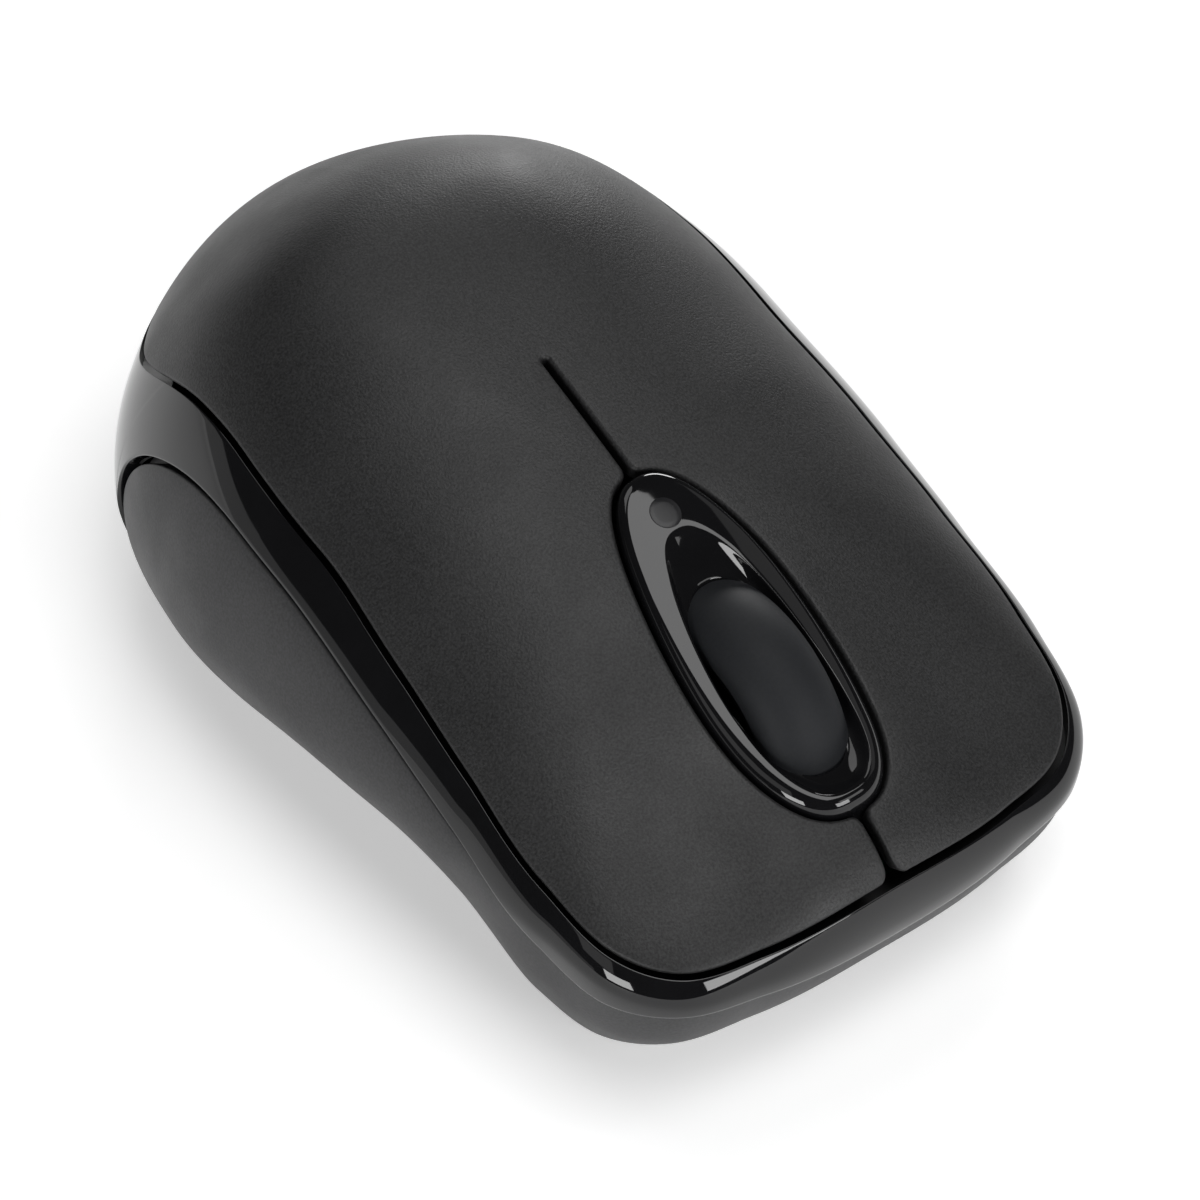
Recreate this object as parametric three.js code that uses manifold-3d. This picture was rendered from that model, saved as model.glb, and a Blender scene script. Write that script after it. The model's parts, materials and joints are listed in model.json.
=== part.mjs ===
// A wireless computer mouse, in millimetres.
// +Y points to the front, where the buttons are, +X to the user's right and +Z up.
// The origin is on the surface the mouse stands on, under the middle of the body.
import * as THREE from 'three';
import { mergeVertices } from 'three/addons/utils/BufferGeometryUtils.js';
import Module from 'manifold-3d';

const wasm = await Module();
wasm.setup();

// ---- Driving dimensions of the body ----------------------------------------------------------
// The body is swept round a vertical axis at CENTRE_Y. "Facing" is a direction seen from that
// axis, in degrees: -90 is the rear, 0 either side and 90 the front. Each list holds stations of
// [facing or y, value], joined by a smooth curve.
const CENTRE_Y = 5;
const RIM_RADIUS = [[-90, 52.6], [-65, 48.6], [-40, 38.9], [-15, 31.7], [10, 30.3], [30, 33.2],
  [45, 39.1], [54, 43.7], [62, 45.2], [72, 43.9], [90, 42.6]];
const RIM_HEIGHT = [[-50, 9.2], [-20, 12.2], [10, 15.1], [33, 15.1], [55, 11.4]];
const CROWN_HEIGHT = [[-43, 37.5], [-23, 41.5], [-3, 37.2], [17, 31.1], [35, 23.2], [57, 19.7]];
const FULLNESS = [[-90, 5], [-45, 2.7], [0, 2.5], [45, 2.9], [68, 4.3], [90, 12]];
const SEAM_INSET = [[-90, 1.6], [-65, 2.3], [-50, 6.5], [-38, 7.4], [-20, 6.5], [0, 5.1], [30, 3.3],
  [60, 1.5], [90, 0.9]];
const FOOTPRINT_INSET = [[-50, 5.2], [-33, 3.8], [-10, 9], [13, 12.2], [31, 5.4], [55, 7]];
const UNDERCUT_POWER = 1.8;
const BASE_Z = 0.8;

// The lower edge of the trim band: nearly straight from the front, then an arch that drops to
// the floor of the case near the rear.
const BAND_EDGE_HEIGHT = [[-45, 26.8], [-30, 26.3], [-1, 23.6], [22, 20.1], [34, 17.4], [45, 13.7],
  [52, 11.9], [62, 11.6], [90, 10.1]];
const ARCH_START = -28;
const ARCH_END = -55.5;
const ARCH_POWER = 3;
const ARCH_FOOT_Z = 3;
const CASE_EARLIER = 0.8;

// ---- Walls, gaps and openings ----------------------------------------------------------------
const SHELL_WALL = 1.8;
const BAND_WALL = 1.6;
const CASE_WALL = 1.8;
const ROOM_WALL = 2.2;
const FLOOR_TOP = 2.6;
const GAP = 0.3;
const SEAM_GAP = 0.55;
const SLOT_WIDTH = 0.7;
const HINGE_Y = -5.2;

const BEZEL = { rearY: 8.7, frontY: 41.4, halfWidth: 7.3, gap: 0.35, depth: 3, wheelGap: 0.5 };
const WHEEL_WINDOW = { y: 28.2, halfLength: 8.9, halfWidth: 4.5 };
const LENS = { y: 13.45, radius: 1.4, length: 3, rise: 0.85 };
// The bezel stands on the board on one leg in front and on an arch with a leg behind.
const FRONT_LEG = { y: 39.95, width: 4, length: 1.2, drop: 1.6 };
const REAR_ARCH = { y: 10.9, length: 1.8, halfWidth: 7.2, wall: 1.6, top: 24, legWidth: 3.6, drop: 2.2 };
// Far enough outside the mouse for a cut to pass right through.
const FAR = 60;

// ---- Driving dimensions of what is inside ----------------------------------------------------
const WHEEL = { y: 24.9, z: 18.3, radius: 12.5, width: 8.2, crown: 3, tyre: 3.6, axleRadius: 1.5 };
const HUB = { fit: 0.1, inset: 0.6, leftEnd: -11, rightEnd: 8, boss: 3, halfWeb: 0.8, rim: 1.6 };
const BOARD = { rearY: 5.1, frontY: 43, halfWidth: 20, cornerRadius: 9, bottom: 7, top: 8.2 };
const SWITCH = { x: 15, y: 33, length: 12.8, width: 5.8, height: 6.5, plungerRise: 1 };
const PUSHER = { width: 3, length: 4 };
const TACT = { x: 11, y: 19, side: 6, height: 2.8 };
const CELL = { radius: 5.25, length: 44.3, rearY: -41.5, z: 8.2 };
const DOOR = { halfWidth: 7.8, rearY: -39, frontY: 3, bottom: 0.85, top: 2.4, gap: 0.35 };
const DOCK = { x: 16.5, y: -10.5, plugLength: 12, plugWidth: 4.5, plugHeight: 12 };
const DOCK_WALL = { roof: 1.2, side: 1.5 };
const RECEIVER_CAP = { length: 14.5, width: 6, bottom: 0.9, height: 5.5, round: 1.6 };
const CASE_SCREW = { x: 16.5, y: -27, radius: 1.1, headRadius: 2.3, length: 11, headBottom: 1.6 };
// The boss under the palm, and the one on the floor with its well for the screw's head.
const SCREW_BOSS = { radius: 2.8, bottom: 8, holeTop: 17 };
const FLOOR_BOSS = { radius: 3.4, top: 7.7, wellTop: 3.4 };
const BOARD_SCREW = { x: 17, y: 8.5, radius: 0.9, headRadius: 1.9, length: 4.6, holeBottom: 4 };
const BOARD_POST_RADIUS = 2.2;
const FRONT_POST = { x: 12, y: 39.5, radius: 1.6 };
// Pins of the floor that guide the wheel's carrier through the board.
const GUIDE_PIN = { x: 5, y: 37.5, radius: 0.9, holeRadius: 1.2, top: 12.6 };
const SCREW_HOLE_GAP = 0.2;
const FOOT_TOP = 1;
const FOOT_RECESS_TOP = 1.3;
const SENSOR = { y: 8.7, width: 9, length: 6.6, height: 2.4, holeRadius: 3.2 };
const POWER_SWITCH = { x: -11.5, y: 12, length: 8.6, width: 4, travel: 2.5, slot: 3.6, knob: 3 };
const CRADLE = { rearY: -42, frontY: 4.9, halfWidth: 10.4, wall: 1.2, frontWall: 1 };
const ENCODER = { left: -11.9, right: -7.6, halfLength: 4.5, bottom: 14.2, top: 21.8 };

// How far a post or wall runs down into the floor it is joined to, and how far a cut or a joined
// piece runs past a face so that the two never merely touch.
const ROOTED = 0.6;
const PAST = 0.1;

const ROUND_STEPS = 20;
const SMALL_ROUND_STEPS = 16;
const CORNER_STEPS = 5;
const WHEEL_STEPS = 32;
const TYRE_STEPS = 10;
const RIM_STEPS = 15;
const ARCH_STEPS = 6;
const REAR_STEPS = 4;
const DEGREES = 180 / Math.PI;

// ---- Materials -------------------------------------------------------------------------------
function finish(color, roughness, metalness = 0) {
  return new THREE.MeshStandardMaterial({ color, roughness, metalness });
}
const MATTE_BLACK = finish(0x1b1b1c, 0.62);
const GLOSS_BLACK = finish(0x08080a, 0.12);
const CASE_GREY = finish(0x3a3a3c, 0.55);
const RUBBER = finish(0x161719, 0.75);
const SMOKED = finish(0x202022, 0.2);
const BOARD_GREEN = finish(0x1d5a35, 0.5);
const CHIP_BLACK = finish(0x111214, 0.5);
const STEEL = finish(0xb8bcc0, 0.3, 1);
const CLEAR = finish(0xd8e4ea, 0.08);
const WHITE_PLASTIC = finish(0xe4e4e0, 0.45);
const CELL_SLEEVE = finish(0x2e5f8a, 0.35);
const FOOT_GREY = finish(0x4a4a4d, 0.5);

// ---- Small tools -----------------------------------------------------------------------------
// A smooth curve through stations of [place, value], level at both ends.
function through(stations, place) {
  const last = stations.length - 1;
  const at = THREE.MathUtils.clamp(place, stations[0][0], stations[last][0]);
  let i = 0;
  while (i < last - 1 && at > stations[i + 1][0]) {
    i += 1;
  }
  const slope = (k) => {
    if (k === 0 || k === last) {
      return 0;
    }
    return (stations[k + 1][1] - stations[k - 1][1]) / (stations[k + 1][0] - stations[k - 1][0]);
  };
  const span = stations[i + 1][0] - stations[i][0];
  const s = (at - stations[i][0]) / span;
  return stations[i][1] * (2 * s ** 3 - 3 * s ** 2 + 1) + slope(i) * span * (s ** 3 - 2 * s ** 2 + s)
    + stations[i + 1][1] * (3 * s ** 2 - 2 * s ** 3) + slope(i + 1) * span * (s ** 3 - s ** 2);
}

function steps(count) {
  return Array.from({ length: count }, (_, i) => i);
}

// What a maker gives for the left side (-1) and the right side (1), as one list.
function onBothSides(make) {
  return [-1, 1].flatMap(make);
}

// The largest value between low and high for which the test still holds.
function lastWhere(low, high, test) {
  let [a, b] = [low, high];
  for (let i = 0; i < 40; i += 1) {
    const middle = (a + b) / 2;
    if (test(middle)) {
      a = middle;
    } else {
      b = middle;
    }
  }
  return a;
}

// ---- The body's outer surface ----------------------------------------------------------------
function facing(angle) {
  return Math.asin(THREE.MathUtils.clamp(Math.sin(angle), -1, 1)) * DEGREES;
}

function rimRadius(angle) {
  return through(RIM_RADIUS, facing(angle));
}

function rimHeight(angle) {
  return through(RIM_HEIGHT, CENTRE_Y + rimRadius(angle) * Math.sin(angle));
}

// The upper surface, at a share of the way from the axis (0) to the widest line (1).
function upper(angle, share) {
  const radius = rimRadius(angle) * share;
  const y = CENTRE_Y + radius * Math.sin(angle);
  const rim = rimHeight(angle);
  const drop = Math.sqrt(Math.max(0, 1 - share ** through(FULLNESS, facing(angle))));
  return new THREE.Vector3(radius * Math.cos(angle), y, rim + (through(CROWN_HEIGHT, y) - rim) * drop);
}

// The undercut side below the widest line, at a share of the way down to the footprint.
function lower(angle, share) {
  const radius = rimRadius(angle);
  const inset = through(FOOTPRINT_INSET, CENTRE_Y + radius * Math.sin(angle)) * share ** UNDERCUT_POWER;
  return new THREE.Vector3(
    (radius - inset) * Math.cos(angle),
    CENTRE_Y + (radius - inset) * Math.sin(angle),
    THREE.MathUtils.lerp(rimHeight(angle), BASE_Z, share),
  );
}

// The whole outer surface: girth 0 at the crown, 1 at the widest line and 2 at the footprint.
function skin(angle, girth) {
  return girth <= 1 ? upper(angle, Math.sin(girth * Math.PI / 2)) : lower(angle, girth - 1);
}

function skinNormal(angle, girth) {
  const step = 0.01;
  const round = skin(angle + step, girth).sub(skin(angle - step, girth));
  const down = skin(angle, Math.min(2, girth + step)).sub(skin(angle, girth - step));
  return down.cross(round).normalize();
}

// The height of the upper surface over a point of the plan.
function crownOver(x, y) {
  const angle = Math.atan2(y - CENTRE_Y, x);
  const share = Math.min(1, Math.hypot(x, y - CENTRE_Y) / rimRadius(angle));
  return upper(angle, share).z;
}

// Where the top shell meets the band, as a girth.
function seamGirth(angle, extraInset = 0) {
  const inset = through(SEAM_INSET, facing(angle)) + extraInset;
  return Math.asin(1 - inset / rimRadius(angle)) / (Math.PI / 2);
}

// The height of the band's lower edge; the case's own edge turns down the arch a little earlier.
function bandEdgeHeight(angle, earlier = 0) {
  const direction = facing(angle);
  const along = (ARCH_START - direction + earlier) / (ARCH_START - ARCH_END);
  const drop = THREE.MathUtils.clamp(along, 0, 1);
  const arch = Math.cbrt(1 - drop ** ARCH_POWER);
  return THREE.MathUtils.lerp(ARCH_FOOT_Z, through(BAND_EDGE_HEIGHT, direction), arch);
}

// The girth at which the skin comes down to a height.
function girthAtHeight(angle, height) {
  return lastWhere(0.3, 2, (girth) => skin(angle, girth).z > height);
}

// Directions round the body, closer together down the arch, as one closed ring.
function ringAngles() {
  const front = steps(RIM_STEPS).map((i) => 90 - i * (90 - ARCH_START) / RIM_STEPS);
  const arch = steps(ARCH_STEPS + 1).map((i) => {
    const turn = (i / ARCH_STEPS) * (Math.PI / 2);
    return ARCH_START - (ARCH_START - ARCH_END) * Math.sin(turn) ** (2 / ARCH_POWER);
  });
  const rear = steps(REAR_STEPS).map((i) => ARCH_END - 1 - i * (89 + ARCH_END) / REAR_STEPS);
  const right = [...front, ...arch, ...rear, -90];
  const left = right.slice(1, -1).reverse().map((direction) => 180 - direction);
  return [...right, ...left].map((direction) => direction / DEGREES);
}
const RING = ringAngles();

// ---- Solids ----------------------------------------------------------------------------------
// Joins rows of points, each a closed ring, into one closed body. Capped rows end in a fan;
// otherwise the last row joins the first again.
function loft(rows, capped) {
  const count = rows[0].length;
  const points = rows.flat();
  const faces = [];
  const joins = capped ? rows.length - 1 : rows.length;
  for (let row = 0; row < joins; row += 1) {
    const here = row * count;
    const there = ((row + 1) % rows.length) * count;
    for (let i = 0; i < count; i += 1) {
      const j = (i + 1) % count;
      faces.push(here + i, there + i, there + j, here + i, there + j, here + j);
    }
  }
  if (capped) {
    const last = (rows.length - 1) * count;
    const [first, end] = [points.length, points.length + 1];
    points.push(middleOf(rows[0]), middleOf(rows[rows.length - 1]));
    for (let i = 0; i < count; i += 1) {
      const j = (i + 1) % count;
      faces.push(first, i, j, end, last + j, last + i);
    }
  }
  return outward(points, faces);
}

function middleOf(row) {
  const sum = row.reduce((total, point) => total.add(point), new THREE.Vector3());
  return sum.divideScalar(row.length);
}

// A geometry of the points and faces, with the faces turned outward.
function outward(points, faces) {
  let volume = 0;
  for (let i = 0; i < faces.length; i += 3) {
    const [a, b, c] = [points[faces[i]], points[faces[i + 1]], points[faces[i + 2]]];
    volume += a.dot(b.clone().cross(c));
  }
  const geometry = new THREE.BufferGeometry();
  geometry.setAttribute('position', new THREE.Float32BufferAttribute(
    points.flatMap((point) => point.toArray()), 3,
  ));
  geometry.setIndex(volume > 0 ? faces : [...faces].reverse());
  return geometry;
}

// A solid that can be cut and joined, from a closed geometry.
function solid(geometry) {
  const bare = geometry.clone();
  bare.deleteAttribute('normal');
  bare.deleteAttribute('uv');
  const merged = mergeVertices(bare, 1e-4);
  return new wasm.Manifold(new wasm.Mesh({
    numProp: 3,
    vertProperties: new Float32Array(merged.attributes.position.array),
    triVerts: new Uint32Array(merged.index.array),
  }));
}

function box([x0, y0, z0], [x1, y1, z1]) {
  const geometry = new THREE.BoxGeometry(x1 - x0, y1 - y0, z1 - z0);
  geometry.translate((x0 + x1) / 2, (y0 + y1) / 2, (z0 + z1) / 2);
  return solid(geometry);
}

// A box that is centred on x and y.
function block(x, y, width, length, bottom, top) {
  return box([x - width / 2, y - length / 2, bottom], [x + width / 2, y + length / 2, top]);
}

function post(x, y, radius, bottom, top, sides = ROUND_STEPS) {
  const geometry = new THREE.CylinderGeometry(radius, radius, top - bottom, sides);
  geometry.rotateX(Math.PI / 2);
  geometry.translate(x, y, (bottom + top) / 2);
  return solid(geometry);
}

// A round bar along X.
function bar(x0, x1, y, z, radius, sides = ROUND_STEPS) {
  const geometry = new THREE.CylinderGeometry(radius, radius, x1 - x0, sides);
  geometry.rotateZ(Math.PI / 2);
  geometry.translate((x0 + x1) / 2, y, z);
  return solid(geometry);
}

// An outline in plan, raised from bottom to top.
function prism(outline, bottom, top, curveSegments = ROUND_STEPS) {
  const shape = outline instanceof THREE.Shape ? outline : new THREE.Shape(outline);
  const geometry = new THREE.ExtrudeGeometry(shape, {
    depth: top - bottom, bevelEnabled: false, curveSegments,
  });
  geometry.translate(0, 0, bottom);
  return solid(geometry);
}

// A rounded rectangle in plan.
function roundedPlan(x, y, width, length, radius) {
  const shape = new THREE.Shape();
  const [left, right] = [x - width / 2, x + width / 2];
  const [rear, front] = [y - length / 2, y + length / 2];
  shape.moveTo(left + radius, rear);
  shape.absarc(right - radius, rear + radius, radius, -Math.PI / 2, 0, false);
  shape.absarc(right - radius, front - radius, radius, 0, Math.PI / 2, false);
  shape.absarc(left + radius, front - radius, radius, Math.PI / 2, Math.PI, false);
  shape.absarc(left + radius, rear + radius, radius, Math.PI, 1.5 * Math.PI, false);
  return shape;
}

// A profile of [radius, height] pairs turned round an axis that runs along the given direction.
function turned(profile, [x, y, z], axis = 'z', sides = ROUND_STEPS) {
  const points = profile.map(([radius, height]) => new THREE.Vector2(radius, height));
  const geometry = new THREE.LatheGeometry(points, sides);
  if (axis === 'z') {
    geometry.rotateX(Math.PI / 2);
  } else if (axis === 'x') {
    geometry.rotateZ(-Math.PI / 2);
  }
  geometry.translate(x, y, z);
  return solid(geometry);
}

const mouse = new THREE.Group();

function addNode(name, material, shape) {
  const { vertProperties, triVerts } = shape.getMesh();
  const geometry = new THREE.BufferGeometry();
  geometry.setAttribute('position', new THREE.Float32BufferAttribute(vertProperties, 3));
  geometry.setIndex(Array.from(triVerts));
  geometry.computeVertexNormals();
  const mesh = new THREE.Mesh(geometry, material);
  mesh.name = name;
  mouse.add(mesh);
}

// ---- Outlines in plan ------------------------------------------------------------------------
// The egg outline of the bezel: t runs from 0 at the narrow rear end once round.
function eggPoint(t, grow = 0) {
  const middleY = (BEZEL.rearY + BEZEL.frontY) / 2;
  const halfLength = (BEZEL.frontY - BEZEL.rearY) / 2;
  const across = Math.sign(Math.sin(t)) * Math.abs(Math.sin(t)) ** 0.8 * (1 - 0.13 * Math.cos(t));
  return new THREE.Vector2(
    (BEZEL.halfWidth + grow) * across,
    middleY - (halfLength + grow) * Math.cos(t),
  );
}

function windowPoint(t, grow = 0) {
  return new THREE.Vector2(
    (WHEEL_WINDOW.halfWidth + grow) * Math.sign(Math.sin(t)) * Math.abs(Math.sin(t)) ** 0.85,
    WHEEL_WINDOW.y - (WHEEL_WINDOW.halfLength + grow) * Math.cos(t),
  );
}

const EGG_STEPS = 32;
const EGG_TURNS = steps(EGG_STEPS).map((i) => (i / EGG_STEPS) * 2 * Math.PI);

// ---- Top shell and buttons -------------------------------------------------------------------
// The whole shell as one dish: the crown outside, the same surface one wall lower inside.
function shellBlank() {
  const shares = [0.22, 0.42, 0.6, 0.75, 0.86, 0.94, 1];
  const at = (share, lowerBy) => RING.map((angle) => {
    const edge = Math.sin(seamGirth(angle, SEAM_GAP) * Math.PI / 2);
    const point = upper(angle, share * edge);
    return point.setZ(point.z - lowerBy);
  });
  const outside = shares.map((share) => at(share, 0));
  const inside = shares.map((share) => at(share, SHELL_WALL)).reverse();
  return solid(loft([...outside, ...inside], true));
}

function topShell(blank) {
  const palm = blank.subtract(box([-FAR, HINGE_Y, 0], [FAR, FAR, FAR]));
  return onBothSides(shellBoss).reduce((shell, boss) => shell.add(boss), palm);
}

// A post under the palm that takes the case's screw.
function shellBoss(side) {
  const x = side * CASE_SCREW.x;
  const top = crownOver(x, CASE_SCREW.y) - SHELL_WALL / 2;
  const hole = post(x, CASE_SCREW.y, CASE_SCREW.radius + SCREW_HOLE_GAP, 0, SCREW_BOSS.holeTop);
  return post(x, CASE_SCREW.y, SCREW_BOSS.radius, SCREW_BOSS.bottom, top).subtract(hole);
}

function button(blank, side) {
  const inner = SLOT_WIDTH / 2;
  const span = side > 0 ? box([inner, HINGE_Y + GAP, 0], [FAR, FAR, FAR])
    : box([-FAR, HINGE_Y + GAP, 0], [-inner, FAR, FAR]);
  const egg = prism(EGG_TURNS.map((t) => eggPoint(t)), 0, FAR);
  const finger = blank.intersect(span).subtract(egg);
  const x = side * SWITCH.x;
  const pusherTop = crownOver(x, SWITCH.y) - SHELL_WALL / 2;
  const pusherBottom = BOARD.top + SWITCH.height + SWITCH.plungerRise + GAP;
  const pusher = block(x, SWITCH.y, PUSHER.width, PUSHER.length, pusherBottom, pusherTop);
  return finger.add(pusher);
}

// ---- Bezel and its lens ----------------------------------------------------------------------
// Heights above the crown, from the wheel window (0) out to the rim's outer edge (1).
const BEZEL_PROFILE = [[0, -0.5], [0.2, 0.4], [0.4, 0.85], [0.62, 0.9], [0.84, 0.55], [1, -0.4]];

function bezelPoint(t, share, lowerBy) {
  const inside = windowPoint(t);
  const plan = inside.lerp(eggPoint(t, -BEZEL.gap), share);
  const rise = lowerBy === 0 ? through(BEZEL_PROFILE, share) : -lowerBy;
  return new THREE.Vector3(plan.x, plan.y, crownOver(plan.x, plan.y) + rise);
}

function wheelBezel() {
  const outside = BEZEL_PROFILE.map(([share]) => EGG_TURNS.map((t) => bezelPoint(t, share, 0)));
  const under = [1, 0].map((share) => EGG_TURNS.map((t) => bezelPoint(t, share, BEZEL.depth)));
  const ring = solid(loft([...outside, ...under], false));
  const lensHole = post(0, LENS.y, LENS.radius + GAP, REAR_ARCH.top, FAR);
  const room = WHEEL_WINDOW.halfWidth;
  const wheelRoom = bar(-room, room, WHEEL.y, WHEEL.z, WHEEL.radius + BEZEL.wheelGap, WHEEL_STEPS);
  return ring.add(bezelFrontLeg()).add(bezelRearArch()).subtract(lensHole).subtract(wheelRoom);
}

function bezelFrontLeg() {
  const { y, width, length, drop } = FRONT_LEG;
  return block(0, y, width, length, BOARD.top + GAP, crownOver(0, BEZEL.frontY) - drop);
}

function bezelRearArch() {
  const { y, length, halfWidth, wall, top, legWidth, drop } = REAR_ARCH;
  const arch = block(0, y, 2 * halfWidth, length, BOARD.top + GAP, top);
  const hollow = block(0, y, 2 * (halfWidth - wall), 2 * length, 0, top - wall);
  const leg = block(0, y, legWidth, length, top - wall / 2, crownOver(0, y) - drop);
  return arch.subtract(hollow).add(leg);
}

function indicatorLens() {
  const top = crownOver(0, LENS.y) + LENS.rise;
  return post(0, LENS.y, LENS.radius, top - LENS.length, top);
}

// ---- Trim band and lower case ----------------------------------------------------------------
// A point of a wall's inner face, a wall's thickness behind the skin. Near the top edge of the
// band it lies straight below the skin, so the edge of the groove is upright.
function behind(angle, girth, wall, upright) {
  const inward = skinNormal(angle, girth).negate();
  const direction = inward.lerp(new THREE.Vector3(0, 0, -1), upright).normalize();
  return skin(angle, girth).addScaledVector(direction, wall);
}

function trimBand() {
  const shares = [0, 0.15, 0.4, 0.7, 1];
  const squareTo = 0.4;
  const girth = (angle, share) => {
    const edge = girthAtHeight(angle, bandEdgeHeight(angle));
    return THREE.MathUtils.lerp(seamGirth(angle), edge, share);
  };
  const outside = shares.map((share) => RING.map((angle) => skin(angle, girth(angle, share))));
  const inside = shares.map((share) => RING.map(
    (angle) => behind(angle, girth(angle, share), BAND_WALL, Math.max(0, 1 - share / squareTo)),
  ));
  return solid(loft([...outside, ...inside.reverse()], false));
}

// The lower case is a dish: floor, undercut walls and the wall's edge just under the band.
function caseBlank() {
  const shares = [0, 0.3, 0.6, 0.85, 1];
  const edgeGirth = (angle) => girthAtHeight(angle, bandEdgeHeight(angle, CASE_EARLIER) - GAP);
  const girth = (angle, share) => THREE.MathUtils.lerp(edgeGirth(angle), 2, share);
  const outside = shares.map((share) => RING.map((angle) => skin(angle, girth(angle, share))));
  const inside = shares.map((share) => RING.map((angle) => {
    const point = behind(angle, girth(angle, share), CASE_WALL, 0);
    return point.setZ(Math.max(FLOOR_TOP, Math.min(point.z, skin(angle, edgeGirth(angle)).z)));
  }));
  return solid(loft([...inside.reverse(), ...outside], true));
}

// The room inside the walls, so that nothing added to the case shows through them.
function roomInside() {
  const girths = [0.5, 0.8, 1, 1.25, 1.5, 1.75, 2];
  const rows = girths.map((girth) => RING.map((angle) => behind(angle, girth, ROOM_WALL, 0)));
  return solid(loft(rows, true));
}

function footPlan(foot, grow) {
  const round = Math.min(foot.width, foot.length) / 2 + grow;
  return roundedPlan(foot.x, foot.y, foot.width + 2 * grow, foot.length + 2 * grow, round - 0.01);
}

const FEET = {
  front_foot: { x: 0, y: 36.5, width: 24, length: 5 },
  rear_left_foot: { x: -15.5, y: -27, width: 6, length: 13 },
  rear_right_foot: { x: 15.5, y: -27, width: 6, length: 13 },
};

// A roofed box over the cell, closed in front and open to the rear.
function batteryCradle() {
  const { rearY, frontY, halfWidth, wall, frontWall } = CRADLE;
  const top = CELL.z + CELL.radius + GAP;
  const inner = halfWidth - wall;
  const body = box([-halfWidth, rearY, FLOOR_TOP - ROOTED], [halfWidth, frontY, top + wall]);
  return body.subtract(box([-inner, rearY - 1, 0], [inner, frontY - frontWall, top]));
}

function receiverDock() {
  const cap = RECEIVER_CAP;
  const capTop = cap.bottom + cap.height + GAP;
  const plugTop = capTop + DOCK.plugHeight + GAP;
  const around = 2 * DOCK_WALL.side;
  const lower = block(DOCK.x, DOCK.y, cap.width + around, cap.length + around,
    FLOOR_TOP - ROOTED, capTop + DOCK_WALL.roof);
  const outside = lower.add(block(DOCK.x, DOCK.y, DOCK.plugWidth + around, DOCK.plugLength + around,
    FLOOR_TOP - ROOTED, plugTop + DOCK_WALL.roof));
  const inside = receiverSpace(capTop, plugTop);
  return { outside, inside };
}

function receiverSpace(capTop, plugTop) {
  const cap = RECEIVER_CAP;
  return block(DOCK.x, DOCK.y, cap.width + 2 * GAP, cap.length + 2 * GAP, 0, capTop)
    .add(block(DOCK.x, DOCK.y, DOCK.plugWidth + 2 * GAP, DOCK.plugLength + 2 * GAP, 1, plugTop));
}

function floorPost(x, y, radius, top) {
  return post(x, y, radius, FLOOR_TOP - ROOTED, top);
}

function floorPosts() {
  const underBoard = BOARD.bottom - GAP;
  return onBothSides((side) => [
    post(side * CASE_SCREW.x, CASE_SCREW.y, FLOOR_BOSS.radius, CASE_SCREW.headBottom, FLOOR_BOSS.top),
    floorPost(side * BOARD_SCREW.x, BOARD_SCREW.y, BOARD_POST_RADIUS, underBoard),
    floorPost(side * FRONT_POST.x, FRONT_POST.y, FRONT_POST.radius, underBoard),
    floorPost(side * GUIDE_PIN.x, GUIDE_PIN.y, GUIDE_PIN.radius, GUIDE_PIN.top),
  ]);
}

// What is cut from the floor and its posts for the screws.
function screwHoles() {
  return onBothSides((side) => [
    post(side * CASE_SCREW.x, CASE_SCREW.y, CASE_SCREW.headRadius + GAP, 0, FLOOR_BOSS.wellTop),
    post(side * CASE_SCREW.x, CASE_SCREW.y, CASE_SCREW.radius + GAP, 0, SCREW_BOSS.bottom),
    post(side * BOARD_SCREW.x, BOARD_SCREW.y, BOARD_SCREW.radius + SCREW_HOLE_GAP,
      BOARD_SCREW.holeBottom, BOARD.top),
  ]);
}

// The openings of the floor for the door, the sensor, the power switch and the feet.
function floorHoles() {
  const above = FLOOR_TOP + PAST;
  const doorHole = box(
    [-DOOR.halfWidth - DOOR.gap, DOOR.rearY - DOOR.gap, 0],
    [DOOR.halfWidth + DOOR.gap, DOOR.frontY + DOOR.gap, above],
  );
  const { x, y, slot, travel } = POWER_SWITCH;
  const recesses = Object.values(FEET).map((foot) => (
    prism(footPlan(foot, GAP), 0, FOOT_RECESS_TOP, CORNER_STEPS)
  ));
  return [
    doorHole,
    post(0, SENSOR.y, SENSOR.holeRadius, 0, above),
    block(x, y, slot, slot + travel, 0, above),
    ...recesses,
  ];
}

function baseShell() {
  const dock = receiverDock();
  const room = roomInside();
  const added = [dock.outside, batteryCradle(), ...floorPosts()];
  const filled = added.reduce((shell, piece) => shell.add(piece.intersect(room)), caseBlank());
  const cuts = [dock.inside, ...floorHoles(), ...screwHoles()];
  return cuts.reduce((shell, cut) => shell.subtract(cut), filled);
}

const DOOR_TAB = { x: 5, halfWidth: 1.5, overlap: 1.5, ahead: 0.6, top: 3.6 };
const DOOR_GRIP = { fromRear: 4, width: 7, length: 1.2, depth: 0.5, pitch: 2.4, count: 3 };

// A tab that reaches over the floor in front of the door's opening.
function doorTab(side) {
  const { x, halfWidth, overlap, ahead, top } = DOOR_TAB;
  const tab = box([side * x - halfWidth, DOOR.frontY - overlap, DOOR.top - PAST],
    [side * x + halfWidth, DOOR.frontY + ahead, top]);
  return tab.subtract(box([-FAR, DOOR.frontY, 0], [FAR, FAR, FLOOR_TOP + GAP]));
}

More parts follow.
